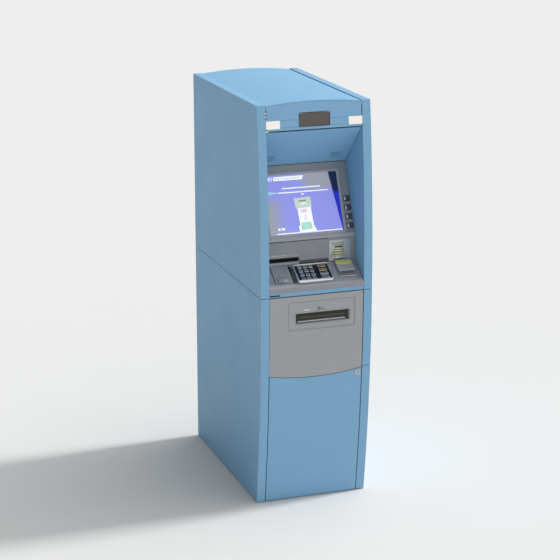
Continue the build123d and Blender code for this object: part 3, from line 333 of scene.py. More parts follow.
def roundedFrame(origin, axes, outer, inner, corners, depth, lift, edge=0.25, around=40, rise=None):
    # a closed ring between two rounded outlines: each ring of points is their mix by share,
    # raised by lift, with both edges rolled over a quarter wave
    across, up, out = axes
    angle = (np.arange(around) + 0.5) / around * 2 * np.pi
    turn = np.stack([np.cos(angle), np.sin(angle)], axis=-1)
    outline = [np.sign(turn) * (np.array(size) / 2 - corner) + corner * turn
               for size, corner in ((outer, corners[0]), (inner, corners[1]))]
    roll = np.linspace(0, 1, 5)
    share = np.concatenate([[0], edge * (1 - np.cos(roll * np.pi / 2)),
                            1 - edge * (1 - np.cos(roll[::-1] * np.pi / 2)), [1]])
    height = np.concatenate([[-depth], lift * np.sin(roll * np.pi / 2), lift * np.sin(roll[::-1] * np.pi / 2),
                             [-depth]])
    if rise is not None:
        height[1:-1] += rise * (1 - share[1:-1])
    share, height = np.append(share, 0), np.append(height, -depth)
    flat = outline[0] * (1 - share[:, None, None]) + outline[1] * share[:, None, None]
    points = origin + flat[..., :1] * across + flat[..., 1:] * up + height[:, None, None] * out
    return points.reshape(-1, 3), gridFaces(len(share), around, True).tolist()


def patch(outline, place, thick=0.08):
    # a thin prism over a flat outline of (x, s) points, place turning them into the frame
    corners = np.array(outline, dtype=float)
    turn = corners[:, 0] * np.roll(corners[:, 1], -1) - corners[:, 1] * np.roll(corners[:, 0], -1)
    if turn.sum() > 0:
        corners = corners[::-1]
    count = len(corners)
    top = np.array([place(x, s, thick) for x, s in corners])
    foot = np.array([place(x, s, 0) for x, s in corners])
    faces = [list(range(count)), list(range(2 * count - 1, count - 1, -1))]
    faces += [[i, i + count, (i + 1) % count + count, (i + 1) % count] for i in range(count)]
    return np.concatenate([top, foot]), faces


def oval(x, s, halfX, halfS, count=28):
    angle = np.arange(count) / count * 2 * np.pi
    return np.stack([x + halfX * np.cos(angle), s + halfS * np.sin(angle)], axis=-1)


def box4(x0, x1, s0, s1):
    return [(x0, s0), (x1, s0), (x1, s1), (x0, s1)]


def lettering(words, height, origin, axes, thick=0.12 * mm):
    # a text curve made a mesh, its doubles merged, then laid on its plane
    curve = bpy.data.curves.new("letters", "FONT")
    curve.body, curve.size, curve.extrude, curve.resolution_u = words, height, thick, 3
    curve.align_x, curve.align_y = "CENTER", "CENTER"
    holder = bpy.data.objects.new("letters", curve)
    bpy.context.collection.objects.link(holder)
    mesh = bpy.data.meshes.new_from_object(holder.evaluated_get(bpy.context.evaluated_depsgraph_get()))
    work = bmesh.new()
    work.from_mesh(mesh)
    bmesh.ops.remove_doubles(work, verts=work.verts, dist=1e-6)
    bmesh.ops.recalc_face_normals(work, faces=work.faces)
    work.to_mesh(mesh)
    work.free()
    flat = np.empty(len(mesh.vertices) * 3)
    mesh.vertices.foreach_get("co", flat)
    flat = flat.reshape(-1, 3)
    faces = [list(polygon.vertices) for polygon in mesh.polygons]
    bpy.data.objects.remove(holder)
    bpy.data.curves.remove(curve)
    bpy.data.meshes.remove(mesh)
    return origin + flat[:, :1] * axes[0] + flat[:, 1:2] * axes[1] + flat[:, 2:] * axes[2], faces


finishes = (
    (blueCoat, ("lower_left_side_panel", "lower_right_side_panel", "middle_right_side_panel",
                "lower_rear_panel", "upper_left_side_panel", "upper_right_side_panel", "top_cover",
                "header_panel", "soffit_panel", "head_rear_panel", "lower_door")),
    (frameCoat, ("head_frame",)),
    (greyEnamel, ("dispenser_panel", "dispenser_bezel")),
    (fasciaAbs, ("screen_fascia",)),
    (consoleAbs, ("console_shelf", "card_reader", "contactless_pad")),
    (blackAbs, ("display_unit", "keypad_housing", "power_inlet", "receipt_printer")),
    (smokedAcrylic, ("header_window",)),
    (opalLens, ("header_lamps",)),
    (safeEnamel, ("safe_body", "safe_door")),
    (cassetteAbs, ("cash_cassettes",)),
    (zincPlate, ("head_rails", "dispenser_unit", "pc_core", "safe_bolt_bar", "lower_door_lock")),
    (chromePlate, ("safe_handle", "safe_dial")),
    (brushedSteel, ("cash_shutter",)),
)
for material, names in finishes:
    for name in names:
        for materialSlot in frame["nodes"][name].material_slots:
            materialSlot.material = material
for name, node in frame["nodes"].items():
    if name.startswith(("function_key", "keypad_key")):
        for materialSlot in node.material_slots:
            materialSlot.material = keyAbs
# toughened glass over a switched-off panel: near-black with a polished face
glassPanel = finishedSurface("toughened_glass_dark", "#101426", "#161B30", 60, 0.06, 0.02, 9.0, 0.003,
                             IOR=1.52)
for materialSlot in frame["nodes"]["display_glass"].material_slots:
    materialSlot.material = glassPanel
print("finishes given to the carried-over parts")


# liquid-crystal picture: a lavender ground and flat bright tints, all glowing behind a polished face
screenGround = glowing("lcd_lavender", "#7A7FD0", "#8287D8", 0.52, 90, 0.12)
screenGrey = glowing("lcd_grey", "#83859A", "#9294A0", 0.45, 60, 0.12)
screenPale = glowing("lcd_white", "#E6E7F6", "#F2F3FC", 0.5, 20, 0.12)
screenCyan = glowing("lcd_cyan", "#84B5D4", "#9AC8DC", 0.5, 20, 0.12)
screenNavy = glowing("lcd_navy", "#0A1236", "#101B4A", 0.5, 30, 0.12)
screenBlue = glowing("lcd_deep_blue", "#161EA0", "#2029B8", 0.6, 30, 0.12)
screenSage = glowing("lcd_sage", "#B4C2B8", "#C4CFC5", 0.45, 20, 0.12)
screenMint = glowing("lcd_mint", "#9ADCC4", "#B4E4D2", 0.5, 16, 0.12)
screenPink = glowing("lcd_pink", "#E6BEDC", "#EED0E4", 0.5, 12, 0.12)
screenGreen = glowing("lcd_dark_green", "#3F6E4C", "#4C7A58", 0.5, 12, 0.12)


def fadeGround(material, grey, fades):
    # each fade is (axis, from, to) pairs in metres; inside all of a fade's pairs the ground turns grey
    tree = material.node_tree
    principled = tree.nodes["Principled BSDF"]
    source = principled.inputs["Base Color"].links[0].from_socket
    coords = next(node for node in tree.nodes if node.type == "TEX_COORD").outputs["Object"]
    parts = addNode(tree, "ShaderNodeSeparateXYZ", {"Vector": coords}).outputs
    total = None
    for fade in fades:
        share = None
        for axis, start, end in fade:
            ramp = addNode(tree, "ShaderNodeMapRange",
                           {"Value": parts[axis], "From Min": start, "From Max": end},
                           interpolation_type="SMOOTHSTEP").outputs["Result"]
            share = ramp if share is None else addNode(tree, "ShaderNodeMath", {0: share, 1: ramp},
                                                       operation="MULTIPLY").outputs[0]
        total = share if total is None else addNode(tree, "ShaderNodeMath", {0: total, 1: share},
                                                    operation="MAXIMUM").outputs[0]
    mixed = addNode(tree, "ShaderNodeMix", {"Factor": total, "A": source, "B": linear(grey)},
                    data_type="RGBA")
    for socket in ("Base Color", "Emission Color"):
        tree.links.new(mixed.outputs["Result"], principled.inputs[socket])


# the picture turns grey towards its lower left and its upper right
groundFades = ((("X", -0.055, -0.125), ("Z", 1.085, 1.05)), (("X", -0.02, 0.035), ("Z", 1.085, 1.11)))
fadeGround(screenGround, "#8A8D99", groundFades)

# outlines are (x, s): across the machine and down the sloping fascia, in mm
screenSizes = {
    "ground": (-134, 134, 34, 244),
    "emblem": (-110, 47, 8.5, 6.8), "emblemHole": (-110, 47, 5.5, 4.4), "emblemDot": (-111.5, 46, 2.6, 2.4),
    "letters": 9, "letterFrom": -92, "letterStep": 10.6, "letterWidth": 4.2, "letterSpan": (45.5, 49),
    "bars": ((-72, 69, 80, 84), (-134, 96, 95, 99), (-4, 6, 104, 108)),
    "lifts": (-0.42, -0.34, -0.26, -0.18),
}


def paintedPiece(name, layers, place, body, slotName, materials):
    # layers are (material number, outline, lift); place turns (x, s, lift) into the frame
    parts = [(number, patch(outline, lambda x, s, up, lift=lift: place(x, s, lift + up)))
             for number, outline, lift in layers]
    points, faces, numbers = joined(parts)
    return meshPiece(name, points, faces, body, slotName, materials, numbers, smooth=False)


groundLift, lineLift, shapeLift, detailLift = screenSizes["lifts"]
screenLayers = [
    (0, box4(*screenSizes["ground"]), groundLift),
    (2, box4(-98, 4, 40, 54), shapeLift),
    (2, [(4, 40), (12, 40), (5, 54), (4, 54)], shapeLift),
    (3, [(-134, 88), (-92, 94), (-92, 98), (-134, 104)], shapeLift),
    (4, [(104, 34), (134, 34), (134, 104), (113, 104)], shapeLift),
    (5, [(113, 104), (134, 104), (134, 244), (131.5, 244)], shapeLift),
    (6, [(-34, 119), (27, 116), (28, 153), (-30, 156)], shapeLift),
    (2, [(-25, 156), (24, 153), (27, 216), (38, 240), (-27, 240), (-28, 216), (-22, 214)], shapeLift),
    (9, [(-18, 128), (10, 126.5), (10, 130), (-18, 131.5)], detailLift),
    (2, [(-14, 137), (8, 136), (8, 143), (-14, 144)], detailLift),
    (8, [(-14, 160), (9, 158.5), (9, 170), (-14, 171)], detailLift),
    (7, [(-18, 205), (18, 203), (22, 230), (-20, 232)], detailLift),
    (2, [(-5, 176), (6, 175), (7, 200), (-5, 200)], detailLift),
    (2, box4(-111, 129, 237.5, 241), lineLift + 0.04),
    (2, box4(-104, -96, 219, 227), shapeLift), (2, box4(-92, -80, 219, 227), shapeLift),
]
for x0, x1, s0, s1 in screenSizes["bars"]:
    screenLayers.append((2, box4(max(x0, -88), x1, s0, s1), shapeLift))
screenLayers.append((2, oval(*screenSizes["emblem"]), shapeLift))
screenLayers.append((0, oval(*screenSizes["emblemHole"]), detailLift))
screenLayers.append((2, oval(*screenSizes["emblemDot"]), detailLift + 0.06))
for letter in range(screenSizes["letters"]):
    # plain blocks stand for a heading
    left = screenSizes["letterFrom"] + letter * screenSizes["letterStep"]
    screenLayers.append((1, box4(left, left + screenSizes["letterWidth"], *screenSizes["letterSpan"]),
                         detailLift))
paintedPiece("screen_picture", screenLayers, onFascia, "head", "screen_glass",
             [screenGround, screenGrey, screenPale, screenCyan, screenNavy, screenBlue, screenSage,
              screenMint, screenPink, screenGreen])

# rim round the screen, paler than the fascia, with both edges rolled
rimAbs = finishedSurface("moulded_abs_pale_grey", "#9A9CA2", "#A3A5AB", 18, 0.42, 0.05, 1.0, 0.04, IOR=1.53)
rimSizes = {"outer": (288 * mm, 229 * mm), "inner": (268 * mm, 210 * mm), "corners": (7 * mm, 4 * mm),
            "depth": 0.4 * mm, "lift": 2.2 * mm, "middle": (0, 139)}
points, faces = roundedFrame(onFascia(*rimSizes["middle"]), fasciaAxes, rimSizes["outer"], rimSizes["inner"],
                             rimSizes["corners"], rimSizes["depth"], rimSizes["lift"], edge=0.3)
meshPiece("screen_rim", points, faces, "head", "fascia_grey", [rimAbs])


# bead along the foot of the sloping face: a half-wave section carried across, and under it a black strip
# painted as the shadow of its overhang
beadSizes = {"ends": (-171.5, 171.5), "from": 251.0, "to": 266.5, "lift": 4.2, "steps": 12, "columns": 30,
             "swell": 0.6, "backS": (263, 255), "backLift": (-0.2, -0.2), "gap": (-171.5, 74, -935.6, -933.2),
             "shadowLineLift": 0.05, "shadowLineThick": 0.1}
wave = np.linspace(0, np.pi, beadSizes["steps"])
beadS = beadSizes["from"] + (beadSizes["to"] - beadSizes["from"]) * (1 - np.cos(wave)) / 2
beadLift = beadSizes["lift"] * np.sin(wave) ** beadSizes["swell"]
beadS, beadLift = np.append(beadS, beadSizes["backS"]), np.append(beadLift, beadSizes["backLift"])
beadPath = np.linspace(*beadSizes["ends"], beadSizes["columns"]) * mm
beadPoints = (fasciaTop + beadPath[:, None, None] * acrossX - (beadS * mm)[None, :, None] * fasciaAxes[1]
              + (beadLift * mm)[None, :, None] * fasciaOut)
count = len(beadS)
beadFaces = gridFaces(len(beadPath), count, True).tolist()
beadFaces += [list(range(count)), list(range(len(beadPath) * count - 1, (len(beadPath) - 1) * count - 1, -1))]
meshPiece("fascia_bead", beadPoints.reshape(-1, 3), beadFaces, "head", "fascia_grey", [rimAbs])
# the black strip just under the bead is painted shadow of the bead's overhang, not a real gap
beadShadowLine = patch(box4(*beadSizes["gap"]),
                lambda x, s, up: np.array([x * mm, fasciaLow[1] - (beadSizes["shadowLineLift"] + up) * mm, -s * mm]),
                beadSizes["shadowLineThick"])
meshPiece("bead_shadow_line", *beadShadowLine, "head", "fascia_grey", [blackAbs], smooth=False)
print("screen built")


# brushed steel key tops, bright on the flat and darker down the sides
keySteel = finishedSurface("brushed_steel_key", "#B9BCC1", "#CBCED2", 1.6, 0.28, 0.07, 0.6, 0.02,
                           stretch=(0.12, 1, 1), Metallic=1.0)
keySteelWarm = finishedSurface("brushed_steel_key_warm", "#A8A184", "#B9B295", 1.6, 0.3, 0.07, 0.6, 0.02,
                               stretch=(0.12, 1, 1), Metallic=1.0)
# pad-printed inks: flat and crisp against the brushed metal
keyDark = finishedSurface("black_filled_engraving", "#191B20", "#22252B", 4, 0.5, 0.05, 0.6, 0.01, IOR=1.5)
keyWhite = finishedSurface("white_print", "#E4E6EA", "#F0F2F4", 4, 0.45, 0.05, 0.6, 0.01, IOR=1.5)
keyRed = finishedSurface("red_print", "#B0413A", "#BC4C44", 4, 0.45, 0.05, 0.6, 0.01, IOR=1.5)
keyYellow = finishedSurface("yellow_print", "#C6A93C", "#D0B448", 4, 0.45, 0.05, 0.6, 0.01, IOR=1.5)
keyGreen = finishedSurface("green_print", "#4B8B55", "#559660", 4, 0.45, 0.05, 0.6, 0.01, IOR=1.5)

keySizes = {"flange": 2.2 * mm, "corner": 2.0 * mm, "edge": 1.2 * mm, "dish": 0.5 * mm, "depth": 7.5 * mm,
            "letter": 8.0 * mm, "letterDrop": 0.42 * mm, "bar": (16, 2.2), "barThick": 0.2}
keyMarks = ("123", "456", "789", "*0#")
sideMarks = (("Red", keyRed), ("Yellow", keyYellow), ("Green", keyGreen), ("Plain", keyDark))

for row in range(4):
    for column in range(4):
        node = f"keypad_key_{row + 1}_{column + 1}"
        origin, size = topOf(node, shelfAxes)
        size = size - keySizes["flange"]
        cap = roundedPlate(origin, shelfAxes, size, keySizes["corner"], keySizes["depth"], keySizes["edge"],
                           keySizes["dish"])
        onTop = origin - keySizes["letterDrop"] * shelfOut
        if column < 3:
            mark = lettering(keyMarks[row][column], keySizes["letter"], onTop, shelfAxes)
            printed = keyDark
        else:
            halfBar, thickBar = keySizes["bar"][0] / 2, keySizes["bar"][1] / 2
            mark = patch(box4(-halfBar, halfBar, -thickBar, thickBar), placeOn(onTop, shelfAxes),
                         keySizes["barThick"])
            printed = sideMarks[row][1]
        points, faces, numbers = joined([(0, cap), (1, mark)])
        top = keySteelWarm if row < 2 and column == 3 else keySteel
        meshPiece(f"keypad_cap_{row + 1}_{column + 1}", points, faces, node, "key_steel", [top, printed],
                  numbers, replaces=(node,))

functionSizes = {"flange": 3.0 * mm, "corner": 2.2 * mm, "edge": 0.8 * mm, "dish": 0.5 * mm,
                 "depth": 5.5 * mm,
                 "barInset": 3.3, "barHalf": (2.6, 6.4), "barThick": 0.25, "barDrop": 0.2 * mm,
                 "surround": 4.4 * mm, "gap": 0.8 * mm, "surroundDrop": 2.5 * mm,
                 "surroundCorners": (3 * mm, 2.4 * mm), "surroundDepth": 0.3 * mm, "surroundLift": 0.7 * mm}
for sideName, towards in (("left", 1), ("right", -1)):
    for row in range(1, 5):
        node = f"function_key_{sideName}_{row}"
        origin, size = topOf(node, fasciaAxes)
        size = size - functionSizes["flange"]
        cap = roundedPlate(origin, fasciaAxes, size, functionSizes["corner"], functionSizes["depth"],
                           functionSizes["edge"], functionSizes["dish"])
        barX = towards * (size[0] / 2 / mm - functionSizes["barInset"])
        halfX, halfS = functionSizes["barHalf"]
        onTop = origin - functionSizes["barDrop"] * fasciaOut
        mark = patch(box4(barX - halfX, barX + halfX, -halfS, halfS), placeOn(onTop, fasciaAxes),
                     functionSizes["barThick"])
        points, faces, numbers = joined([(0, cap), (1, mark)])
        meshPiece(f"function_cap_{sideName}_{row}", points, faces, node, "function_key", [keyAbs, keyWhite],
                  numbers, replaces=(node,))
# a dark surround behind each column of function keys
# the same charcoal also serves as painted shade between pad and keypad and at the foot of the fascia
charcoalAbsAndShade = finishedSurface("moulded_abs_charcoal", "#33363C", "#3C3F46", 10, 0.35, 0.06, 0.9, 0.04, IOR=1.53)
surroundParts = []
for sideName in ("left", "right"):
    for row in range(1, 5):
        origin, size = topOf(f"function_key_{sideName}_{row}", fasciaAxes)
        origin = origin - functionSizes["surroundDrop"] * fasciaOut
        size = size - functionSizes["flange"]
        surround = roundedFrame(origin, fasciaAxes, size + functionSizes["surround"],
                                size + functionSizes["gap"],
                                functionSizes["surroundCorners"], functionSizes["surroundDepth"],
                                functionSizes["surroundLift"])
        surroundParts.append((0, surround))
points, faces, numbers = joined(surroundParts)
meshPiece("function_key_surrounds", points, faces, "head", "function_key", [charcoalAbsAndShade], numbers)
print("keys built")


traySizes = {"middle": (1, 48, 5.0), "outer": (134 * mm, 84 * mm), "inner": (120 * mm, 72 * mm),
             "corners": (9 * mm, 5 * mm), "lift": 4.6 * mm, "depth": 5.2 * mm, "edge": 0.28}
points, faces = roundedFrame(onShelf(*traySizes["middle"]), shelfAxes, traySizes["outer"], traySizes["inner"],
                             traySizes["corners"], traySizes["depth"], traySizes["lift"],
                             edge=traySizes["edge"])
meshPiece("keypad_rim", points, faces, "head", "key_steel", [brushedSteel])

# bright metal apron in front of the keys: a low curved plate
apronAlloy = finishedSurface("satin_anodised_aluminium", "#DADCDF", "#E6E8EA", 3, 0.34, 0.06, 0.8, 0.02,
                             stretch=(0.08, 1, 1), Metallic=0.55)
apronSizes = {"plate": ((-2, 86.8, 10.6), (124, 10), 4, 7, 2.4)}
meshPiece("keypad_apron", *shelfPlate(apronSizes["plate"]), "head", "key_steel", [apronAlloy])

# polished black floor of the tray between the keys
trayFloor = finishedSurface("gloss_black_abs", "#0D0E11", "#15171B", 10, 0.18, 0.05, 2.0, 0.01, IOR=1.53)
for materialSlot in frame["nodes"]["keypad_housing"].material_slots:
    materialSlot.material = trayFloor

# card reader: a yellow-green lit guide at the top, ribs along its hood and two cross grooves in front
guideGreen = glowing("translucent_guide_green", "#A7B04C", "#C3C96A", 0.12, 7, 0.3)
# the hood's paler moulding, which catches the light on its ribs
hoodAbs = finishedSurface("moulded_abs_light_grey", "#A6A9AF", "#B3B6BB", 14, 0.42, 0.06, 0.9, 0.04, IOR=1.53)
readerSizes = {
    "guide": ((122, 19, 12.9), (58, 17), 4, 1.6, 1.0),
    "hood": ((122, 43.6, 12.4), (58, 29), 3, 1.0, 0.8),
    "rib": ((98, 43.6, 13.6), (2.4, 25), 1, 1.3, 0.6), "ribs": 9, "ribStep": 6,
    "groove": ((122, 62.5, 4.6), (52, 2.0), 0.8, 1.2, 0.5), "grooves": 2, "grooveStep": 8,
    "lip": ((122, 76, 5.4), (57, 5), 1.5, 2.2, 1.0),
    "arrow": [(-3.2, 3), (0, 0), (3.2, 3), (3.2, 4.6), (0, 1.6), (-3.2, 4.6)],
    "arrowAt": (108, 16.5, 12.95), "arrows": 3, "arrowStep": 14,
}
readerParts = [(0, shelfPlate(readerSizes["guide"])), (1, shelfPlate(readerSizes["hood"]))]
for rib in range(readerSizes["ribs"]):
    readerParts.append((1, shelfPlate(readerSizes["rib"], moveX=rib * readerSizes["ribStep"])))
for groove in range(readerSizes["grooves"]):
    readerParts.append((2, shelfPlate(readerSizes["groove"], moveS=groove * readerSizes["grooveStep"])))
readerParts.append((1, shelfPlate(readerSizes["lip"])))
arrowX, arrowS, arrowLift = readerSizes["arrowAt"]
for arrow in range(readerSizes["arrows"]):
    arrowPlace = placeOn(onShelf(arrowX + arrow * readerSizes["arrowStep"], arrowS, arrowLift), shelfAxes)
    readerParts.append((3, patch(readerSizes["arrow"], arrowPlace)))
points, faces, numbers = joined(readerParts)
meshPiece("card_reader_trim", points, faces, "head", "console_grey", [guideGreen, hoodAbs, charcoalAbsAndShade, keyDark],
          numbers)

# reading pad: pale rubber with ribs, a button field with a wave mark, and a black L round its corner painted
# as the shadow in the gap there
padSizes = {
    "body": ((-113, 43.5, 6.2), (61, 80), 4, 6, 1.6),
    "button": ((-109, 74, 8.2), (33, 15), 2, 2, 0.9),
    "rib": ((-118, 14, 7.0), (38, 3.0), 1.3, 1.2, 0.6), "ribs": 5, "ribStep": 8,
    # the black L is painted shade standing for the shadow gap at the pad's corner
    "shadowGap": [(-137, 61), (-134, 61), (-134, 81.5), (-115, 81.5), (-115, 84), (-137, 84)], "shadowGapLift": 6.3,
    "waveAt": (-117, 74, 8.25), "waves": 3, "waveRadius": 5, "waveStep": 4, "waveThick": 1.4,
    "waveHalfAngle": 0.8,
}
padParts = [(0, shelfPlate(padSizes["body"])), (1, shelfPlate(padSizes["button"])),
            (2, patch(padSizes["shadowGap"], lambda x, s, up: onShelf(x, s, padSizes["shadowGapLift"] + up)))]
for rib in range(padSizes["ribs"]):
    padParts.append((1, shelfPlate(padSizes["rib"], moveS=rib * padSizes["ribStep"])))
waveAngle = np.linspace(-padSizes["waveHalfAngle"], padSizes["waveHalfAngle"], 9)
waveTurn = np.stack([np.cos(waveAngle), np.sin(waveAngle)], axis=-1)
for wave in range(padSizes["waves"]):
    # an arc out along one radius and back along a larger one
    radius = padSizes["waveRadius"] + wave * padSizes["waveStep"]
    arc = np.concatenate([radius * waveTurn, (radius + padSizes["waveThick"]) * waveTurn[::-1]])
    padParts.append((3, patch(arc, placeOn(onShelf(*padSizes["waveAt"]), shelfAxes))))
points, faces, numbers = joined(padParts)
meshPiece("reading_pad", points, faces, "head", "fascia_grey", [consoleAbs, padRubber, blackAbs, keyWhite],
          numbers, replaces=("contactless_pad",))

# strips of ribs at the left front of the console, and a charcoal band between pad and keypad painted as the
# shade that falls there
consoleSizes = {
    "shadeBand": [(-83.5, 5), (-67.5, 5), (-67.5, 87), (-79, 87), (-83.5, 70)], "shadeBandLift": 0.1, "shadeBandThick": 0.5,
    "rib": ((-166, 74, 1.6), (2.2, 22), 1, 1.7, 0.7), "ribs": 5, "ribStep": 4.6,
}
consoleParts = [(0, patch(consoleSizes["shadeBand"], lambda x, s, up: onShelf(x, s, consoleSizes["shadeBandLift"] + up),
                          consoleSizes["shadeBandThick"]))]
for rib in range(consoleSizes["ribs"]):
    consoleParts.append((1, shelfPlate(consoleSizes["rib"], moveX=rib * consoleSizes["ribStep"])))
points, faces, numbers = joined(consoleParts)
meshPiece("console_details", points, faces, "head", "console_grey", [charcoalAbsAndShade, padRubber], numbers)
print("console built")


def onFoot(x, z, lift=0.0):
    # the upright foot of the fascia, z being the height above the floor
    return np.array([x * mm, fasciaLow[1] - lift * mm, z * mm])


def patchOnFoot(outline, lift, thick=0.1):
    return patch([(x, -z) for x, z in outline], lambda x, s, up: onFoot(x, -s, lift + up), thick)


# receipt bezel: a plate with its own slot, as two frames one inside the other
receiptSizes = {
    "slotAt": (-91.5, 870), "slotOuter": (112 * mm, 15 * mm), "slotInner": (104 * mm, 8 * mm),
    "slotCorners": (3 * mm, 1.5 * mm), "slotLift": 3.4 * mm,
    "plateAt": (-104.5, 871.5), "plateOuter": (138 * mm, 40 * mm), "plateCorners": (7 * mm, 3 * mm),
    "plateLift": 2.2 * mm, "plateEdge": 0.12, "depth": 0.2 * mm,
    "marks": ([(-146, 884.5), (-115, 884.5), (-115, 888), (-146, 888)],
              [(-96, 886), (-89, 886), (-87, 890), (-94, 890)]),
    "markLift": 2.4,
}
points, faces = roundedFrame(onFoot(*receiptSizes["slotAt"]), frontAxes, receiptSizes["slotOuter"],
                             receiptSizes["slotInner"], receiptSizes["slotCorners"], receiptSizes["depth"],
                             receiptSizes["slotLift"])
platePoints, plateFaces = roundedFrame(onFoot(*receiptSizes["plateAt"]), frontAxes,
                                       receiptSizes["plateOuter"],
                                       receiptSizes["slotOuter"], receiptSizes["plateCorners"],
                                       receiptSizes["depth"], receiptSizes["plateLift"],
                                       edge=receiptSizes["plateEdge"])
# the plate's inner outline is moved sideways on to the slot, by a share that falls to nothing at its rim
sideways = (receiptSizes["slotAt"][0] - receiptSizes["plateAt"][0]) * mm
halfPlate, halfSlot = receiptSizes["plateOuter"][0] / 2, receiptSizes["slotOuter"][0] / 2
fromMiddle = np.abs(platePoints[:, 0] - platePoints[:, 0].mean())
platePoints[:, 0] += np.clip((halfPlate - fromMiddle) / (halfPlate - halfSlot), 0, 1) * sideways
receiptParts = [(0, (points, faces)), (1, (platePoints, plateFaces))]
receiptParts += [(2, patchOnFoot(mark, receiptSizes["markLift"])) for mark in receiptSizes["marks"]]
points, faces, numbers = joined(receiptParts)
meshPiece("receipt_bezel", points, faces, "head", "fascia_grey", [blackAbs, rimAbs, keyWhite], numbers)

# a charcoal plate behind the keypad, at the foot of the fascia: painted shade standing for the shadow there
keypadShadeSizes = {"at": (20, 858, 0.9), "size": (108 * mm, 13 * mm), "corner": 4 * mm, "depth": 0.8 * mm,
               "edge": 0.4 * mm}
keypadShade = roundedPlate(onFoot(*keypadShadeSizes["at"]), frontAxes, keypadShadeSizes["size"], keypadShadeSizes["corner"],
                      keypadShadeSizes["depth"], keypadShadeSizes["edge"])
meshPiece("keypad_painted_shade", *keypadShade, "head", "black_plastic", [charcoalAbsAndShade])

# notice in a clear holder: printed card with plain bars, and no words
holderClear = finishedSurface("clear_acrylic_holder", "#92A4B2", "#9AACB9", 20, 0.16, 0.04, 5.0, 0.01,
                              IOR=1.49, Coat_Weight=0.5, Coat_Roughness=0.05)
# off-white card with four flat printing inks
printedCard = finishedSurface("printed_card", "#E6E8E0", "#F2F4EE", 9, 0.55, 0.05, 0.8, 0.02, IOR=1.5)
printGreen = finishedSurface("print_dark_green", "#4C6650", "#5A745E", 5, 0.5, 0.04, 0.8, 0.01, IOR=1.5)
printLime = finishedSurface("print_lime", "#B3BC5C", "#C6CD7C", 5, 0.5, 0.04, 0.8, 0.01, IOR=1.5)
printGrey = finishedSurface("print_grey", "#8F9690", "#9CA39D", 5, 0.5, 0.04, 0.8, 0.01, IOR=1.5)
printLilac = finishedSurface("print_lilac", "#D9D6F0", "#EAE8FA", 5, 0.5, 0.04, 0.8, 0.01, IOR=1.5)


# each bar is (material number, lift, x, z, width, height)
noticeSizes = {
    "holderAt": (114.5, 890, 1.8), "holder": (80 * mm, 75 * mm), "corner": 2.5 * mm, "depth": 1.7 * mm,
    "edge": 0.6 * mm,
    "bars": ((1, 1.85, 76, 855, 67, 70), (2, 2.0, 96, 899, 30, 6), (5, 2.0, 88, 908, 42, 2.4),
             (5, 2.0, 84, 914.5, 48, 2.0), (3, 2.0, 90, 889, 42, 5.0), (3, 2.0, 85, 880.5, 48, 5.5),
             (3, 2.0, 84, 872.0, 44, 5.0), (2, 2.15, 104, 883, 12, 1.4), (2, 2.15, 92, 875, 16, 1.2),
             (5, 2.0, 81, 867.5, 56, 1.4)),
    "spot": (109, 861, 21, 4.2), "spotLift": 2.0,
}
noticeParts = [(0, roundedPlate(onFoot(*noticeSizes["holderAt"]), frontAxes, noticeSizes["holder"],
                                noticeSizes["corner"], noticeSizes["depth"], noticeSizes["edge"]))]
for number, lift, x, z, width, height in noticeSizes["bars"]:
    noticeParts.append((number, patchOnFoot(box4(x, x + width, z, z + height), lift)))
noticeParts.append((4, patchOnFoot(oval(*noticeSizes["spot"]), noticeSizes["spotLift"])))
points, faces, numbers = joined(noticeParts)
meshPiece("notice_card", points, faces, "head", "fascia_grey",
          [holderClear, printedCard, printGreen, printLime, printLilac, printGrey], numbers)
print("foot of the fascia built")


# dark anodised trim, a thin soft glint round the smoked window
trimDark = finishedSurface("anodised_trim_dark", "#3A3E44", "#454A50", 12, 0.35, 0.06, 1.2, 0.02,
                           Metallic=0.6)
windowSizes = {"margin": 3 * mm, "overlap": 1 * mm, "corners": (5 * mm, 4 * mm), "depth": 0.6 * mm,
               "lift": 0.8 * mm}
low, high = (np.array(corner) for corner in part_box("header_window"))
centre, size = (low + high) / 2, (high - low)[[0, 2]]
points, faces = roundedFrame(np.array([centre[0], frontY(centre[2]), centre[2]]), frontAxes,
                             size + windowSizes["margin"], size - windowSizes["overlap"],
                             windowSizes["corners"], windowSizes["depth"], windowSizes["lift"])
meshPiece("header_window_trim", bowed(points, centre[2]), faces, "head", "dark_window", [trimDark])

# grey panel: a raised line round the bezel, a frame round the cash mouth, a light bar and a mark
# both rings stay behind the bowed front, so each starts as far back as it stands up
bezelSizes = {
    "span": (-105, 141, 640, 742), "outerInset": 0.8 * mm, "innerInset": 9 * mm, "corners": (5 * mm, 3 * mm),
    "depth": 1.2 * mm, "lift": 0.9 * mm,
    "mouth": (-77, 120, 663, 700), "mouthMargin": 12 * mm, "mouthCorners": (5 * mm, 2 * mm),
    "mouthLift": 0.7 * mm, "marks": ((1, box4(-64, -26, 708, 712)), (2, box4(-3, 30, 706, 708)),
              (2, [(2, 710), (25, 710), (22, 719), (5, 719)])),
    "markLift": -0.85,
}
# the panel's enamel, a shade darker on its raised lines
bezelGrey = finishedSurface("stoved_enamel_grey_bezel", "#94969A", "#9B9DA1", 24, 0.42, 0.05, 1.2, 0.04,
                            IOR=1.5)


def bowedFrame(span, outerGrowth, innerGrowth, corners, lift):
    # a ring round (left, right, foot, top) in mm, its outlines that much larger, bent to the bowed front
    left, right, foot, top = (edge * mm for edge in span)
    level = (foot + top) / 2
    size = np.array([right - left, top - foot])
    at = np.array([(left + right) / 2, frontY(level) + lift, level])
    ring, faces = roundedFrame(at, frontAxes, size + outerGrowth, size + innerGrowth, corners,
                               bezelSizes["depth"], lift)
    return bowed(ring, level), faces


def patchOnFront(outline, lift, thick=0.12):
    # outline in (x, z) mm; lift is measured from the bowed surface
    return patch([(x, -z) for x, z in outline],
                 lambda x, s, up: np.array([x * mm, frontY(-s * mm) - (lift + up) * mm, -s * mm]), thick)


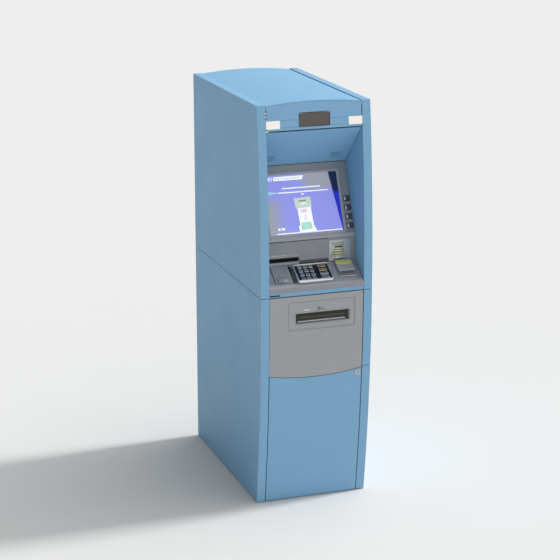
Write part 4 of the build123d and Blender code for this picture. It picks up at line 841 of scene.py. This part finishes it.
frontParts = [(0, bowedFrame(bezelSizes["span"], -bezelSizes["outerInset"], -bezelSizes["innerInset"],
                             bezelSizes["corners"], bezelSizes["lift"])),
              (0, bowedFrame(bezelSizes["mouth"], bezelSizes["mouthMargin"], 0.0, bezelSizes["mouthCorners"],
                             bezelSizes["mouthLift"]))]
frontParts += [(number, patchOnFront(mark, bezelSizes["markLift"])) for number, mark in bezelSizes["marks"]]
points, faces, numbers = joined(frontParts)
meshPiece("cash_bezel_trim", points, faces, "base", "panel_grey", [bezelGrey, keyWhite, printGrey], numbers)

# shutter in the cash mouth: dark umber paint, two black lips across it and a bright edge below
shutterPaint = finishedSurface("painted_shutter_umber", "#4E4B42", "#585549", 14, 0.4, 0.06, 1.2, 0.03,
                               IOR=1.5)
# each lip is (material number, height of its middle, inset of its ends, height)
shutterSizes = {"corner": 1.0 * mm, "edge": 0.5 * mm,
                "lips": ((1, -9, 24, 3.2), (1, 3, 24, 3.2), (2, -15, 30, 4.5)),
                "lipLift": 0.25 * mm, "lipCorner": 1.2 * mm, "lipDepth": 0.4 * mm, "lipEdge": 0.2 * mm}
shutterLow, shutterHigh = (np.array(corner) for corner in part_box("cash_shutter"))
shutterMiddle, shutterSpan = (shutterLow + shutterHigh) / 2, shutterHigh - shutterLow
face = np.array([shutterMiddle[0], shutterLow[1], shutterMiddle[2]])
shutterParts = [(0, roundedPlate(face, frontAxes, shutterSpan[[0, 2]], shutterSizes["corner"], shutterSpan[1],
                                 shutterSizes["edge"]))]
for number, up, inset, height in shutterSizes["lips"]:
    lipAt = face + np.array([0, -shutterSizes["lipLift"], up * mm])
    shutterParts.append((number, roundedPlate(lipAt, frontAxes, (shutterSpan[0] - inset * mm, height * mm),
                                              shutterSizes["lipCorner"], shutterSizes["lipDepth"],
                                              shutterSizes["lipEdge"])))
points, faces, numbers = joined(shutterParts)
meshPiece("cash_shutter_face", points, faces, "cash_shutter", "black_plastic",
          [shutterPaint, blackAbs, zincPlate], numbers, replaces=("cash_shutter",))

# lock: a white ring whose white is a painted highlight, dished to a small grey core with a key slot
# profile rows are (radius, height): the ring's outside, its dish, then the core from coreFrom on
lockSizes = {"profile": [(12.0, -1.0), (12.0, -0.5), (11.4, -0.05), (10.4, 0.0), (6.4, -0.1), (5.4, -0.6),
                         (4.9, -0.7), (4.8, -0.25), (4.2, -0.12), (0.01, -0.12)],
             "coreFrom": 6, "slot": (-0.7, 0.7, -3.2, 3.2), "slotDrop": 0.02, "slotThick": 0.06}
lockAt = jointNamed("lower_door_lock_turn")["pos_m"]
lockFace = np.array([lockAt[0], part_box("lower_door_lock")[0][1], lockAt[2]])
lockProfile, coreFrom = np.array(lockSizes["profile"]) * mm, lockSizes["coreFrom"]
slotPlace = placeOn(lockFace - lockSizes["slotDrop"] * mm * frontAxes[2], frontAxes)
lockParts = [(0, revolved(lockFace, frontAxes, lockProfile[:coreFrom + 1])),
             (1, revolved(lockFace, frontAxes, lockProfile[coreFrom:])),
             (2, patch(box4(*lockSizes["slot"]), slotPlace, lockSizes["slotThick"]))]
points, faces, numbers = joined(lockParts)
meshPiece("lock_face", points, faces, "lower_door_lock", "lock_white", [lockWhiteHighlight, zincPlate, blackAbs],
          numbers)
print("front details built")

stageSizes = {"floorHalf": 40.0, "lens": 111.93, "sensor": 36.0,
              "camera": (-2.0234, -5.7387, 2.4349), "aim": (0.3200, 0.9074, -0.2724)}

# matt studio floor, pale and even, with a barely visible mottling
floorMaterial = finishedSurface("painted_studio_floor", "#D2D2D1", "#D4D4D3", 400, 0.9, 0.03, 40.0, 0.02,
                                IOR=1.3, Specular_IOR_Level=0.1)
floorMesh = bpy.data.meshes.new("floor")
half = stageSizes["floorHalf"]
floorMesh.from_pydata([(-half, -half, 0), (half, -half, 0), (half, half, 0), (-half, half, 0)], [],
                      [(0, 1, 2, 3)])
floorMesh.materials.append(floorMaterial)
floor = bpy.data.objects.new("floor", floorMesh)
bpy.context.collection.objects.link(floor)

scene = bpy.context.scene
lens = bpy.data.cameras.new("camera")
lens.lens, lens.sensor_width = stageSizes["lens"], stageSizes["sensor"]
lens.clip_end = 200
camera = bpy.data.objects.new("camera", lens)
bpy.context.collection.objects.link(camera)
camera.location = stageSizes["camera"]
camera.rotation_euler = Vector(stageSizes["aim"]).to_track_quat("-Z", "Y").to_euler()
scene.camera = camera

world = bpy.data.worlds.new("studio")
world.use_nodes = True
background = world.node_tree.nodes["Background"]
background.inputs["Color"].default_value = linear("#F4F6F8")
background.inputs["Strength"].default_value = 0.4
scene.world = world

lights = {"key": {"energy": 2.45, "angle": 8, "from": (0.95, 0.025, 0.84)},
          "overhead": {"energy": 1.3, "angle": 60, "from": (0.5, 0.05, 1.0)},
          "fill": {"energy": 0.6, "angle": 60, "from": (0.1, -1.0, 0.35)}}
for name, light in lights.items():
    sun = bpy.data.lights.new(name, "SUN")
    sun.energy = light["energy"]
    sun.angle = math.radians(light["angle"])
    lamp = bpy.data.objects.new(name, sun)
    bpy.context.collection.objects.link(lamp)
    lamp.rotation_euler = Vector(light["from"]).to_track_quat("Z", "Y").to_euler()
scene.view_settings.view_transform = "Standard"
print("floor, camera and lights set")
